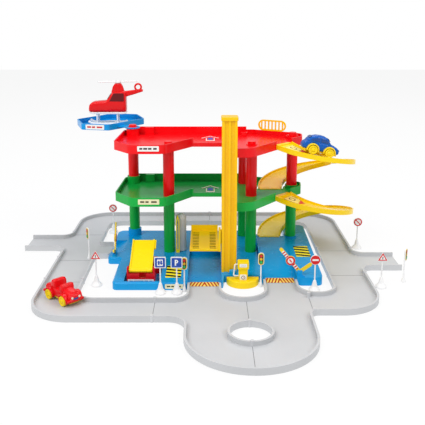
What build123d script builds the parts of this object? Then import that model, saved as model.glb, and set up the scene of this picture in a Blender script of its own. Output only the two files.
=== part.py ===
from build123d import *

import os
from math import atan2, cos, degrees, pi, radians, sin

# Toy parking garage with a lift, on a grey ring road.
# +Z is up, -Y is the front, and the origin is on the floor under the lift bay.

os.makedirs("parts", exist_ok=True)

# ---------------------------------------------------------------- driving dimensions
LANE = 92.0  # width of one road piece
ROAD_FLOOR = 4.0
ROAD_RIM = 14.0
RIM_WIDTH = 5.0

BASE_TOP = 18.0
LOWER_FLOOR = 166.0  # driving surface of the lower deck
LEVEL_STEP = 131.0  # height from one deck to the next
UPPER_FLOOR = LOWER_FLOOR + LEVEL_STEP
DECK_SHEET = 4.0
DECK_SKIRT = 10.0  # fascia below the driving surface
DECK_RIM = 12.0  # rim above the driving surface
REAR_WALL = 20.0

POST_RADIUS = 14.0
POST_WALL = 3.0
PEG_RADIUS = 9.0
PEG_HEIGHT = 9.0

RAMP_CENTRE = (247.0, 90.0)
RAMP_RADIUS = 94.0
RAMP_WIDTH = 62.0
RAMP_TURN = 315.0  # degrees from deck to deck

CAR_WIDTH = 46.0
WHEEL_RADIUS = 11.0

GAP = 0.4  # running clearance between moving pieces


def save(piece, label):
    """Label a finished piece and write its file."""
    piece.label = label
    export_step(piece, f"parts/{label}.step")


# ---------------------------------------------------------------- ring road
LEFT_OUT, LEFT_IN = -391.0, -391.0 + LANE
RIGHT_IN, RIGHT_OUT = 275.0, 275.0 + LANE
REAR_IN, REAR_OUT = 288.0, 288.0 + LANE
FRONT_IN, FRONT_OUT = -258.0, -258.0 - LANE
FRONT_IN_RIGHT, FRONT_OUT_RIGHT = -226.0, -226.0 - LANE
LEFT_STUB_X, LEFT_STUB_Y = -496.0, 70.0
RIGHT_STUB_X, RIGHT_STUB_Y = 466.0, -68.0
LINK_X, LINK_Y, LINK_WIDTH = -264.0, 12.0, 92.0
CIRCUS_X, CIRCUS_Y, CIRCUS_RADIUS = 73.5, -424.0, 131.0
CIRCUS_HOLE, CIRCUS_HOLE_Y = 41.0, -412.0
LIFT_MOUTH_Y, RAMP_MOUTH_Y = -176.0, -156.0
LIFT_MOUTH = (-57.0, 20.0)
RAMP_MOUTH = (118.0, 196.0)
SCALLOP_RADIUS = 48.0
CORNER_OUT, CORNER_IN, CORNER_SMALL = 92.0, 42.0, 26.0

road_outline = [
    ((LEFT_STUB_X, LEFT_STUB_Y), 2),
    ((LEFT_OUT, LEFT_STUB_Y), CORNER_SMALL),
    ((LEFT_OUT, FRONT_OUT), CORNER_OUT),
    ((CIRCUS_X - CIRCUS_RADIUS, FRONT_OUT), 34),
    ((CIRCUS_X - CIRCUS_RADIUS, CIRCUS_Y - CIRCUS_RADIUS), CIRCUS_RADIUS - 0.1),
    ((CIRCUS_X + CIRCUS_RADIUS, CIRCUS_Y - CIRCUS_RADIUS), CIRCUS_RADIUS - 0.1),
    ((CIRCUS_X + CIRCUS_RADIUS, FRONT_OUT_RIGHT), 18),
    ((RIGHT_OUT, FRONT_OUT_RIGHT), CORNER_OUT),
    ((RIGHT_OUT, RIGHT_STUB_Y), CORNER_SMALL),
    ((RIGHT_STUB_X, RIGHT_STUB_Y), 2),
    ((RIGHT_STUB_X, RIGHT_STUB_Y + LANE), 2),
    ((RIGHT_OUT, RIGHT_STUB_Y + LANE), CORNER_SMALL),
    ((RIGHT_OUT, REAR_OUT), CORNER_OUT),
    ((LEFT_OUT, REAR_OUT), CORNER_OUT),
    ((LEFT_OUT, LEFT_STUB_Y + LANE), CORNER_SMALL),
    ((LEFT_STUB_X, LEFT_STUB_Y + LANE), 2),
]
island_outline = [
    ((LEFT_IN, REAR_IN), CORNER_IN),
    ((LEFT_IN, LINK_Y + LINK_WIDTH), 10),
    ((LINK_X, LINK_Y + LINK_WIDTH), 2),
    ((LINK_X, LINK_Y), 2),
    ((LEFT_IN, LINK_Y), 10),
    ((LEFT_IN, FRONT_IN), CORNER_IN),
    ((LIFT_MOUTH[0], FRONT_IN), 28),
    ((LIFT_MOUTH[0], LIFT_MOUTH_Y), 2),
    ((LIFT_MOUTH[1], LIFT_MOUTH_Y), 2),
    ((LIFT_MOUTH[1], LIFT_MOUTH_Y - 78), SCALLOP_RADIUS),
    ((RAMP_MOUTH[0], LIFT_MOUTH_Y - 78), SCALLOP_RADIUS),
    ((RAMP_MOUTH[0], RAMP_MOUTH_Y), 2),
    ((RAMP_MOUTH[1], RAMP_MOUTH_Y), 2),
    ((RAMP_MOUTH[1], FRONT_IN_RIGHT), 38),
    ((RIGHT_IN, FRONT_IN_RIGHT), 38),
    ((RIGHT_IN, REAR_IN), CORNER_IN),
]

with BuildSketch() as road_plan:
    with BuildLine():
        FilletPolyline(*[p for p, r in road_outline], radius=[r for p, r in road_outline], close=True)
    make_face()
    with BuildLine():
        FilletPolyline(*[p for p, r in island_outline], radius=[r for p, r in island_outline], close=True)
    make_face(mode=Mode.SUBTRACT)
    with Locations((CIRCUS_X, CIRCUS_HOLE_Y)):
        Circle(CIRCUS_HOLE, mode=Mode.SUBTRACT)

with BuildSketch() as lane_plan:
    add(road_plan.sketch)
    offset(amount=-RIM_WIDTH, kind=Kind.INTERSECTION, mode=Mode.REPLACE)

# Places where the lane runs out through the rim: two free ends, the link and the two mouths.
lane_mid = LANE / 2
lane_clear = LANE - 2 * RIM_WIDTH
open_ends = [
    ((LEFT_STUB_X, LEFT_STUB_Y + lane_mid), (4 * RIM_WIDTH, lane_clear)),
    ((RIGHT_STUB_X, RIGHT_STUB_Y + lane_mid), (4 * RIM_WIDTH, lane_clear)),
    ((LINK_X, LINK_Y + LINK_WIDTH / 2), (4 * RIM_WIDTH, LINK_WIDTH - 2 * RIM_WIDTH)),
    ((sum(LIFT_MOUTH) / 2, LIFT_MOUTH_Y), (LIFT_MOUTH[1] - LIFT_MOUTH[0] - 2 * RIM_WIDTH, 4 * RIM_WIDTH)),
    ((sum(RAMP_MOUTH) / 2, RAMP_MOUTH_Y), (RAMP_MOUTH[1] - RAMP_MOUTH[0] - 2 * RIM_WIDTH, 4 * RIM_WIDTH)),
]

# Seams between road pieces, each crossed by two clips that stand in the rims.
SEAM_LEFT_LOW, SEAM_LEFT_MID, SEAM_LEFT_HIGH = -150.0, -10.0, 190.0
SEAM_FRONT_LEFT, SEAM_CIRCUS, SEAM_FRONT_RIGHT = -125.0, CIRCUS_X, 212.0
SEAM_RIGHT_LOW, SEAM_RIGHT_HIGH = -110.0, 60.0
SEAM_REAR_LEFT, SEAM_REAR_MID, SEAM_REAR_RIGHT = -240.0, -5.0, 225.0
CLIP_RADIUS = 4.0
CLIP_TOP = 15.5
ROUNDED_RIM = 8.5  # how far the inner rim has curved away from its corner at the front right seam
rim_mid = RIM_WIDTH / 2
clip_places = []
for seam_y in (SEAM_LEFT_LOW, SEAM_LEFT_MID, SEAM_LEFT_HIGH):
    clip_places += [(LEFT_OUT + rim_mid, seam_y), (LEFT_IN - rim_mid, seam_y)]
for seam_y in (SEAM_RIGHT_LOW, SEAM_RIGHT_HIGH):
    clip_places += [(RIGHT_OUT - rim_mid, seam_y), (RIGHT_IN + rim_mid, seam_y)]
for seam_x in (SEAM_REAR_LEFT, SEAM_REAR_MID, SEAM_REAR_RIGHT):
    clip_places += [(seam_x, REAR_OUT - rim_mid), (seam_x, REAR_IN + rim_mid)]
clip_places += [(SEAM_FRONT_LEFT, FRONT_OUT + rim_mid), (SEAM_FRONT_LEFT, FRONT_IN - rim_mid)]
clip_places += [(SEAM_FRONT_RIGHT, FRONT_OUT_RIGHT + rim_mid), (SEAM_FRONT_RIGHT, FRONT_IN_RIGHT - ROUNDED_RIM)]
for hole_side in (-1, 1):
    clip_places.append((CIRCUS_X, CIRCUS_HOLE_Y + hole_side * (CIRCUS_HOLE + rim_mid)))

with BuildPart() as road_mould:
    add(extrude(road_plan.sketch, amount=ROAD_RIM, mode=Mode.PRIVATE))
    with BuildSketch(Plane.XY.offset(ROAD_FLOOR)):
        add(lane_plan.sketch)
        for place, size in open_ends:
            with Locations(place):
                Rectangle(*size)
    extrude(amount=ROAD_RIM, mode=Mode.SUBTRACT)
    with BuildSketch():
        with Locations(*clip_places):
            Circle(CLIP_RADIUS)
    extrude(amount=ROAD_RIM, mode=Mode.SUBTRACT)

FAR = 620.0
road_regions = {
    "track_left_junction": ((-FAR, -250), (SEAM_LEFT_MID, SEAM_LEFT_HIGH)),
    "track_left_straight": ((-FAR, -250), (SEAM_LEFT_LOW, SEAM_LEFT_MID)),
    "track_front_left_corner": ((-FAR, SEAM_FRONT_LEFT), (-FAR, SEAM_LEFT_LOW)),
    "track_circus_left": ((SEAM_FRONT_LEFT, SEAM_CIRCUS), (-FAR, -100)),
    "track_circus_right": ((SEAM_CIRCUS, SEAM_FRONT_RIGHT), (-FAR, -100)),
    "track_front_right_corner": ((SEAM_FRONT_RIGHT, FAR), (-FAR, SEAM_RIGHT_LOW)),
    "track_right_junction": ((SEAM_FRONT_RIGHT, FAR), (SEAM_RIGHT_LOW, SEAM_RIGHT_HIGH)),
    "track_rear_right_corner": ((SEAM_REAR_RIGHT, FAR), (SEAM_RIGHT_HIGH, FAR)),
    "track_rear_right": ((SEAM_REAR_MID, SEAM_REAR_RIGHT), (250, FAR)),
    "track_rear_left": ((SEAM_REAR_LEFT, SEAM_REAR_MID), (250, FAR)),
    "track_rear_left_corner": ((-FAR, SEAM_REAR_LEFT), (SEAM_LEFT_HIGH, FAR)),
}
for road_name, ((x0, x1), (y0, y1)) in road_regions.items():
    with BuildPart() as road_piece:
        add(road_mould.part)
        with Locations(((x0 + x1) / 2, (y0 + y1) / 2, 0)):
            Box(x1 - x0, y1 - y0, 4 * ROAD_RIM, mode=Mode.INTERSECT)
    save(road_piece.part, road_name)

with BuildPart() as track_clips:
    with BuildSketch():
        with Locations(*clip_places):
            Circle(CLIP_RADIUS)
    extrude(amount=CLIP_TOP)
save(track_clips.part, "track_clips")

# ---------------------------------------------------------------- base plate
LIFT_BAY_X, LIFT_BAY_REAR = (-57.0, 21.5), 37.0
SERVICE_BAY_X, SERVICE_BAY_Y = (-203.0, -120.0), (-178.0, -44.0)
BAY_FLOOR = 4.0
SLOPE_TOP, SLOPE_REAR = 35.0, 90.0
BLOCK_FRONT, BLOCK_REAR = 20.0, 34.0
BASE_REAR, BASE_FRONT, BLOCK_FRONT_Y, BLOCK_REAR_Y = 190.0, -187.0, -162.0, 188.0
BLOCK_X = (RAMP_MOUTH[1], 256.0)
SLOPE_FLAT, SLOPE_KERB, SLOPE_KERB_WIDTH = 14.0, 5.0, 3.0
BOSS_WALL, PLATE_SHEET = 4.0, 3.5
RIGHT_PIVOT, LEFT_PIVOT = (203.0, -150.0), (-246.0, -2.0)  # hinge pins of the two barriers
SEAT_TOP, SEAT_SIZE = 22.5, 18.0
BRUSH_PLACE, SPINDLE_RADIUS, SPINDLE_HEIGHT = (-79.0, 30.0), 4.0, 14.0
TOWER_BOSS, TOWER_BOSS_RADIUS, TOWER_BOSS_TOP = (48.0, -133.0), 8.0, 26.0

base_outline = [
    ((-229, BASE_FRONT), 12),
    ((LIFT_MOUTH[0], BASE_FRONT), 6),
    ((LIFT_MOUTH[0], LIFT_MOUTH_Y), 0),
    ((LIFT_MOUTH[1], LIFT_MOUTH_Y), 0),
    ((24, LIFT_MOUTH_Y), 2),
    ((29, -142), 2),
    ((113, -142), 2),
    ((114, RAMP_MOUTH_Y), 2),
    ((118, RAMP_MOUTH_Y), 0),
    ((118, BASE_REAR), 10),
    ((-262, BASE_REAR), 20),
    ((-262, -25), 10),
    ((-229, -25), 8),
]
POSTS = {  # plan place, height of the base boss, height of the deck boss
    "left_front": ((-109, 22), 0, 0),
    "right_front": ((99, 22), 0, 0),
    "middle_rear": ((86, 150), 0, 0),
    "left_rear": ((-212, 155), 19, 20),
    "right_rear": ((211, 105), 15, 8),
}
RIB_PITCH, RIB_POCKET = 36.0, 32.0
rib_zones = [  # centre of the zone, cells along X and Y
    ((-164, 73), (3, 6)),
    ((-80, 0), (1, 9)),
    ((0, 112), (3, 4)),
    ((68, 0), (2, 6)),
]

with BuildPart() as base_plate:
    with BuildSketch():
        with BuildLine():
            FilletPolyline(*[p for p, r in base_outline], radius=[r for p, r in base_outline], close=True)
        make_face()
    extrude(amount=BASE_TOP)
    chamfer(base_plate.faces().sort_by(Axis.Z)[-1].edges().group_by(Axis.Y)[0], 3)
    # service bay, lift bay and the entry from the link road
    with Locations((sum(SERVICE_BAY_X) / 2, sum(SERVICE_BAY_Y) / 2, BAY_FLOOR)):
        Box(
            SERVICE_BAY_X[1] - SERVICE_BAY_X[0], SERVICE_BAY_Y[1] - SERVICE_BAY_Y[0], BASE_TOP,
            align=(Align.CENTER, Align.CENTER, Align.MIN), mode=Mode.SUBTRACT,
        )
    with Locations((sum(LIFT_BAY_X) / 2, (LIFT_MOUTH_Y + LIFT_BAY_REAR) / 2, BAY_FLOOR)):
        Box(
            LIFT_BAY_X[1] - LIFT_BAY_X[0], LIFT_BAY_REAR - LIFT_MOUTH_Y, BASE_TOP,
            align=(Align.CENTER, Align.CENTER, Align.MIN), mode=Mode.SUBTRACT,
        )
    with BuildSketch(Plane.XZ.offset(-LINK_Y - LINK_WIDTH)):
        with BuildLine():
            Polyline((-262, ROAD_FLOOR), (-226, BASE_TOP), (-262, BASE_TOP), close=True)
        make_face()
    extrude(amount=LINK_WIDTH, mode=Mode.SUBTRACT)
    # slope up to the lower ramp, with its kerb
    slope_side = Plane(origin=(RAMP_MOUTH[0], 0, 0), x_dir=(0, 1, 0), z_dir=(1, 0, 0))
    with BuildSketch(slope_side):
        with BuildLine():
            Polyline(
                (RAMP_MOUTH_Y, 0), (RAMP_MOUTH_Y, ROAD_FLOOR), (SLOPE_REAR - SLOPE_FLAT, SLOPE_TOP),
                (SLOPE_REAR, SLOPE_TOP), (SLOPE_REAR, 0), close=True,
            )
        make_face()
    extrude(amount=RAMP_MOUTH[1] - RAMP_MOUTH[0])
    with BuildSketch(slope_side):
        with BuildLine():
            Polyline(
                (RAMP_MOUTH_Y + 10, 0), (RAMP_MOUTH_Y + 10, ROAD_FLOOR + SLOPE_KERB),
                (SLOPE_REAR - SLOPE_FLAT, SLOPE_TOP + SLOPE_KERB), (SLOPE_REAR, SLOPE_TOP + SLOPE_KERB),
                (SLOPE_REAR, 0), close=True,
            )
        make_face()
    extrude(amount=SLOPE_KERB_WIDTH)
    # sloping block beside it, which carries the right rear post
    with BuildSketch():
        with Locations(((BLOCK_X[0] + BLOCK_X[1]) / 2, (BLOCK_FRONT_Y + BLOCK_REAR_Y) / 2)):
            RectangleRounded(BLOCK_X[1] - BLOCK_X[0], BLOCK_REAR_Y - BLOCK_FRONT_Y, 14)
    block = extrude(amount=BLOCK_REAR + 10, mode=Mode.PRIVATE)
    block_side = Plane(origin=(BLOCK_X[0], 0, 0), x_dir=(0, 1, 0), z_dir=(1, 0, 0))
    with BuildSketch(block_side, mode=Mode.PRIVATE) as block_profile:
        with BuildLine():
            Polyline(
                (BLOCK_FRONT_Y, 0), (BLOCK_FRONT_Y, BLOCK_FRONT), (BLOCK_REAR_Y, BLOCK_REAR),
                (BLOCK_REAR_Y, 0), close=True,
            )
        make_face()
    block_wedge = extrude(block_profile.sketch, amount=BLOCK_X[1] - BLOCK_X[0], mode=Mode.PRIVATE)
    add(block & block_wedge)
    # bosses and pegs for the posts
    for place, base_boss, deck_boss in POSTS.values():
        with BuildSketch():
            with Locations(place):
                Circle(POST_RADIUS + BOSS_WALL)
        extrude(amount=BASE_TOP + base_boss)
        with BuildSketch():
            with Locations(place):
                Circle(PEG_RADIUS)
        extrude(amount=BASE_TOP + base_boss + PEG_HEIGHT)
    # seat of the right barrier, and the spindle of the wash brush
    with Locations((RIGHT_PIVOT[0] + 2, RIGHT_PIVOT[1], 0)):
        Box(SEAT_SIZE, SEAT_SIZE, SEAT_TOP, align=(Align.CENTER, Align.CENTER, Align.MIN))
    with Locations((*BRUSH_PLACE, BASE_TOP)):
        Cylinder(SPINDLE_RADIUS, SPINDLE_HEIGHT, align=(Align.CENTER, Align.CENTER, Align.MIN))
    # round boss in front of the foot of the lift tower
    with BuildSketch():
        with Locations(TOWER_BOSS):
            Circle(TOWER_BOSS_RADIUS)
    extrude(amount=TOWER_BOSS_TOP)
    # ribbed underside
    with BuildSketch():
        for zone, cells in rib_zones:
            with Locations(zone):
                with GridLocations(RIB_PITCH, RIB_PITCH, *cells):
                    RectangleRounded(RIB_POCKET, RIB_POCKET, 3)
    extrude(amount=BASE_TOP - PLATE_SHEET, mode=Mode.SUBTRACT)
save(base_plate.part, "base_plate")

# ---------------------------------------------------------------- decks
DECK_FRONT, DECK_MID, DECK_REAR = -46.0, 45.0, 178.0
MID_X = (-50.0, 50.0)
DECK_WALL = 3.0  # thickness of the skirt, the rim and the rear wall
WALL_X = (-218.0, 94.0)  # run of the raised rear wall
ramp_start = radians(225)
ramp_inner, ramp_outer = RAMP_RADIUS - RAMP_WIDTH / 2, RAMP_RADIUS + RAMP_WIDTH / 2
start_inner = (RAMP_CENTRE[0] + ramp_inner * cos(ramp_start), RAMP_CENTRE[1] + ramp_inner * sin(ramp_start))
start_outer = (RAMP_CENTRE[0] + ramp_outer * cos(ramp_start), RAMP_CENTRE[1] + ramp_outer * sin(ramp_start))
start_middle = ((start_inner[0] + start_outer[0]) / 2, (start_inner[1] + start_outer[1]) / 2)
deck_outline = [
    ((-243, 10), 8),
    ((-198, DECK_FRONT), 26),
    ((-116, DECK_FRONT), 26),
    ((MID_X[0], DECK_MID), 3),
    ((MID_X[1], DECK_MID), 3),
    ((MID_X[1], -87), 6),
    ((92, -87), 40),
    (start_outer, 6),
    (start_inner, 0),
    ((232, 75), 8),
    ((236, 112), 14),
    ((212, 132), 14),
    ((112, DECK_REAR), 16),
    ((-236, DECK_REAR), 20),
]


ramp_ring = Pos(*RAMP_CENTRE) * (Circle(ramp_outer + 3) - Circle(ramp_inner - 3))
ramp_path = ramp_ring & (Pos(RAMP_CENTRE[0], RAMP_CENTRE[1] + 100) * Rectangle(400, 200))


def deck(floor_z, ramp_arrives):
    """One moulded deck: sheet, skirt and rim, raised rear wall, bosses over its posts."""
    with BuildSketch() as plan:
        with BuildLine():
            FilletPolyline(*[p for p, r in deck_outline], radius=[r for p, r in deck_outline], close=True)
        make_face()
    with BuildSketch() as inside:
        add(plan.sketch)
        offset(amount=-DECK_WALL, kind=Kind.INTERSECTION, mode=Mode.REPLACE)
    with BuildPart() as moulding:
        with BuildSketch(Plane.XY.offset(floor_z - DECK_SHEET)):
            add(plan.sketch)
        extrude(amount=DECK_SHEET)
        with BuildSketch(Plane.XY.offset(floor_z - DECK_SKIRT)):
            add(plan.sketch)
            add(inside.sketch, mode=Mode.SUBTRACT)
        extrude(amount=DECK_SKIRT + DECK_RIM)
        with BuildSketch(Plane.XY.offset(floor_z)):
            with Locations((sum(WALL_X) / 2, DECK_REAR - DECK_WALL / 2)):
                Rectangle(WALL_X[1] - WALL_X[0], DECK_WALL)
        extrude(amount=REAR_WALL)
        with BuildSketch(Plane.XY.offset(floor_z)):
            with Locations((-168, DECK_REAR - 8)):
                Rectangle(24, 14)
        extrude(amount=REAR_WALL)
        # the rim is open to the lift, where the ramp leaves, and where the other ramp arrives
        with Locations((0, DECK_MID, floor_z)):
            Box(MID_X[1] - MID_X[0] - 6, 12, 2 * DECK_RIM, align=(Align.CENTER, Align.CENTER, Align.MIN),
                mode=Mode.SUBTRACT)
        with Locations(Location((start_middle[0], start_middle[1], floor_z), (0, 0, degrees(ramp_start)))):
            Box(RAMP_WIDTH - 2, 12, 2 * DECK_RIM, align=(Align.CENTER, Align.CENTER, Align.MIN),
                mode=Mode.SUBTRACT)
        if ramp_arrives:
            with BuildSketch(Plane.XY.offset(floor_z - DECK_SKIRT)):
                add(ramp_path)
            extrude(amount=DECK_SKIRT + REAR_WALL, mode=Mode.SUBTRACT)
        for place, base_boss, deck_boss in POSTS.values():
            if deck_boss:
                with BuildSketch(Plane.XY.offset(floor_z - DECK_SHEET)):
                    with Locations(place):
                        Circle(POST_RADIUS + DECK_WALL)
                extrude(amount=DECK_SHEET + deck_boss)
            with BuildSketch(Plane.XY.offset(floor_z - DECK_SHEET)):
                with Locations(place):
                    Circle(PEG_RADIUS)
            extrude(amount=DECK_SHEET + REAR_WALL, mode=Mode.SUBTRACT)
    return moulding.part


save(deck(LOWER_FLOOR, True), "deck_lower")
save(deck(UPPER_FLOOR, False), "deck_upper")

# ---------------------------------------------------------------- posts and caps


def post(place, foot_z, top_z, peg_z):
    """Hollow round post with a closed top and a peg that stands through the deck."""
    with BuildPart() as tube:
        with BuildSketch(Plane.XY.offset(foot_z)):
            with Locations(place):
                Circle(POST_RADIUS)
        extrude(amount=top_z - foot_z)
        with BuildSketch(Plane.XY.offset(foot_z)):
            with Locations(place):
                Circle(POST_RADIUS - POST_WALL)
        extrude(amount=top_z - foot_z - POST_WALL, mode=Mode.SUBTRACT)
        with BuildSketch(Plane.XY.offset(top_z)):
            with Locations(place):
                Circle(PEG_RADIUS)
        extrude(amount=peg_z - top_z)
    return tube.part


for post_name, (place, base_boss, deck_boss) in POSTS.items():
    lower_top = LOWER_FLOOR - DECK_SHEET
    upper_foot = LOWER_FLOOR + deck_boss
    lower = post(place, BASE_TOP + base_boss, lower_top, upper_foot + PEG_HEIGHT - 2)
    save(lower, f"post_lower_{post_name}")
    upper_top = UPPER_FLOOR - DECK_SHEET
    upper = post(place, upper_foot, upper_top, UPPER_FLOOR + deck_boss)
    save(upper, f"post_upper_{post_name}")

CAP_RADIUS, CAP_RING, CAP_RING_HEIGHT, CAP_HEIGHT = 10.5, 14.0, 2.0, 9.0
with BuildPart() as post_caps:
    for place, base_boss, deck_boss in POSTS.values():
        with BuildSketch(Plane.XY.offset(UPPER_FLOOR + deck_boss)):
            with Locations(place):
                Circle(CAP_RING)
        extrude(amount=CAP_RING_HEIGHT)
        with BuildSketch(Plane.XY.offset(UPPER_FLOOR + deck_boss + CAP_RING_HEIGHT)):
            with Locations(place):
                Circle(CAP_RADIUS)
        extrude(amount=CAP_HEIGHT - CAP_RING_HEIGHT, taper=8)
save(post_caps.part, "post_caps")

# ---------------------------------------------------------------- helical ramps
RAMP_SHEET, RAMP_KERB, RAMP_SKIRT, KERB_WIDTH = 3.0, 4.0, 8.0, 3.0
LIP_LENGTH, LIP_THICKNESS = 9.0, 1.6


def ramp(top_z, bottom_z):
    """Helical ramp that winds down anticlockwise, with a lip on the deck at each end."""
    rise = top_z - bottom_z
    with BuildPart() as helix_ramp:
        with BuildLine() as route:
            Helix(pitch=rise * 360 / RAMP_TURN, height=rise, radius=RAMP_RADIUS, lefthand=True)
        section_plane = Plane(origin=route.line @ 0, x_dir=(1, 0, 0), z_dir=route.line % 0)
        with BuildSketch(section_plane) as section:
            with Locations((0, -RAMP_SHEET / 2)):
                Rectangle(RAMP_WIDTH, RAMP_SHEET)
            for side in (-1, 1):
                with Locations((side * (RAMP_WIDTH - KERB_WIDTH) / 2, RAMP_KERB)):
                    Rectangle(KERB_WIDTH, RAMP_KERB + RAMP_SKIRT, align=(Align.CENTER, Align.MAX))
        sweep(sections=section.sketch, path=route.line, is_frenet=True)
    turned = Pos(*RAMP_CENTRE, bottom_z) * Rot(0, 0, 180) * helix_ramp.part
    ends = [
        Location((start_middle[0], start_middle[1], top_z), (0, 0, degrees(ramp_start))),
        Location((RAMP_CENTRE[0] - RAMP_RADIUS, RAMP_CENTRE[1], bottom_z)),
    ]
    with BuildPart() as whole:
        add(turned)
        # each end is cut square along the deck edge, and its lip lies on the driving surface
        for end in ends:
            with Locations(end * Location((0, -LIP_LENGTH, 0))):
                Box(2 * RAMP_WIDTH, 2 * LIP_LENGTH, RAMP_WIDTH, mode=Mode.SUBTRACT)
            with Locations(end):
                Box(RAMP_WIDTH - 8, LIP_LENGTH, LIP_THICKNESS,
                    align=(Align.CENTER, Align.MAX, Align.MIN))
                Box(RAMP_WIDTH - 8, LIP_LENGTH / 3, 2 * LIP_THICKNESS,
                    align=(Align.CENTER, Align.MIN, Align.CENTER))
    return whole.part


save(ramp(UPPER_FLOOR, LOWER_FLOOR), "ramp_upper")
save(ramp(LOWER_FLOOR, SLOPE_TOP), "ramp_lower")

# ---------------------------------------------------------------- guard rail on the rear right rim
RAIL_LENGTH, RAIL_HEIGHT, RAIL_BAR, RAIL_BARS = 78.0, 29.0, 4.0, 7
rail_from, rail_to = Vector(212, 132), Vector(112, DECK_REAR)
rail_along = (rail_from - rail_to).normalized()
rail_middle = (rail_from + rail_to) * 0.5
rail_plane = Plane(
    origin=(rail_middle.X, rail_middle.Y, UPPER_FLOOR + DECK_RIM + RAIL_HEIGHT / 2),
    x_dir=(rail_along.X, rail_along.Y, 0), z_dir=(-rail_along.Y, rail_along.X, 0),
)
with BuildPart() as guard_rail:
    with BuildSketch(rail_plane.offset(-3)):
        SlotOverall(RAIL_LENGTH, RAIL_HEIGHT)
        SlotOverall(RAIL_LENGTH - 2 * RAIL_BAR, RAIL_HEIGHT - 2 * RAIL_BAR, mode=Mode.SUBTRACT)
        with GridLocations(RAIL_LENGTH / (RAIL_BARS + 1), 0, RAIL_BARS, 1):
            Rectangle(3, RAIL_HEIGHT - RAIL_BAR)
    extrude(amount=4)
save(guard_rail.part, "guard_rail")

# ---------------------------------------------------------------- lift tower
TOWER_X, TOWER_Y, TOWER_TOP = (22.0, 57.0), (-124.0, -88.0), 380.0
TOWER_WALL = 4.0
SLOT_Y = (-111.0, -102.0)
GROOVE_DEPTH = 3.0
tower_mid = (sum(TOWER_X) / 2, sum(TOWER_Y) / 2)
tower_size = (TOWER_X[1] - TOWER_X[0], TOWER_Y[1] - TOWER_Y[0])
with BuildPart() as lift_tower:
    with BuildSketch(Plane.XY.offset(BASE_TOP)):
        with Locations(tower_mid):
            Rectangle(*tower_size)
        with Locations((tower_mid[0], tower_mid[1] + 1)):
            Rectangle(tower_size[0] - 2 * TOWER_WALL, tower_size[1] - 2 * TOWER_WALL - 2,
                      mode=Mode.SUBTRACT)
        with Locations((TOWER_X[0], sum(SLOT_Y) / 2)):
            Rectangle(3 * TOWER_WALL, SLOT_Y[1] - SLOT_Y[0], mode=Mode.SUBTRACT)
        for groove_x in (TOWER_X[0] + 10.5, TOWER_X[1] - 10.5):
            with Locations((groove_x, TOWER_Y[0])):
                Rectangle(9, 2 * GROOVE_DEPTH, mode=Mode.SUBTRACT)
    extrude(amount=TOWER_TOP - BASE_TOP)
save(lift_tower.part, "lift_tower")

with BuildPart() as lift_tower_cap:
    with BuildSketch(Plane.XY.offset(TOWER_TOP)):
        with Locations(tower_mid):
            RectangleRounded(tower_size[0] + 4, tower_size[1] + 4, 4)
    extrude(amount=8)
    chamfer(lift_tower_cap.faces().sort_by(Axis.Z)[-1].edges(), 1.5)
save(lift_tower_cap.part, "lift_tower_cap")

# ---------------------------------------------------------------- lift platform and carriage
PLATFORM_X, PLATFORM_Y = (-53.0, 15.0), (-118.0, 30.0)
PLATFORM_TOP, PLATFORM_SHEET = 72.0, 4.0
SLOT_LENGTH, SLOT_WIDTH, SLOT_PITCH, SLOT_ROWS = 15.0, 5.0, 11.2, 11
STOP_HEIGHT = 14.0
platform_mid = (sum(PLATFORM_X) / 2, sum(PLATFORM_Y) / 2)
platform_size = (PLATFORM_X[1] - PLATFORM_X[0], PLATFORM_Y[1] - PLATFORM_Y[0])
with BuildPart() as lift_platform:
    with BuildSketch(Plane.XY.offset(PLATFORM_TOP - PLATFORM_SHEET)):
        with Locations(platform_mid):
            Rectangle(*platform_size)
        with Locations((platform_mid[0], platform_mid[1] - 6)):
            with GridLocations(platform_size[0] - 2 * 13.5, SLOT_PITCH, 2, SLOT_ROWS):
                Rectangle(SLOT_LENGTH, SLOT_WIDTH, mode=Mode.SUBTRACT)
    extrude(amount=PLATFORM_SHEET)
    with BuildSketch(Plane.XY.offset(PLATFORM_TOP)):
        with Locations((platform_mid[0], PLATFORM_Y[1] - 2)):
            Rectangle(platform_size[0], 4)
    extrude(amount=STOP_HEIGHT)
    with BuildSketch(Plane.XY.offset(PLATFORM_TOP)):
        with Locations((PLATFORM_X[0] + 1.5, platform_mid[1]), (PLATFORM_X[1] - 1.5, platform_mid[1])):
            Rectangle(3, platform_size[1])
    extrude(amount=2.5)
save(lift_platform.part, "lift_platform")

CARRIAGE_Z, CARRIAGE_HEIGHT = 84.0, 34.0
with BuildPart() as lift_carriage:
    with BuildSketch(Plane.XY.offset(CARRIAGE_Z)):
        with Locations(((TOWER_X[0] + TOWER_WALL + 1 + TOWER_X[1] - TOWER_WALL - 1) / 2, tower_mid[1] + 1)):
            Rectangle(tower_size[0] - 2 * TOWER_WALL - 2, tower_size[1] - 2 * TOWER_WALL - 4)
        with Locations(((PLATFORM_X[1] + TOWER_X[1]) / 2 - 8, sum(SLOT_Y) / 2)):
            Rectangle(TOWER_X[1] - PLATFORM_X[1] - 18, SLOT_Y[1] - SLOT_Y[0] - 2)
    extrude(amount=CARRIAGE_HEIGHT)
    side_plate = Plane(
        origin=(PLATFORM_X[1], 0, PLATFORM_TOP - PLATFORM_SHEET), x_dir=(0, 1, 0), z_dir=(1, 0, 0),
    )
    with BuildSketch(side_plate):
        with BuildLine():
            Polyline(
                (-120, 0), (-60, 0), (-60, 8), (-88, CARRIAGE_HEIGHT + 16), (-120, CARRIAGE_HEIGHT + 16),
                close=True,
            )
        make_face()
    extrude(amount=5)
save(lift_carriage.part, "lift_carriage")

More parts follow.
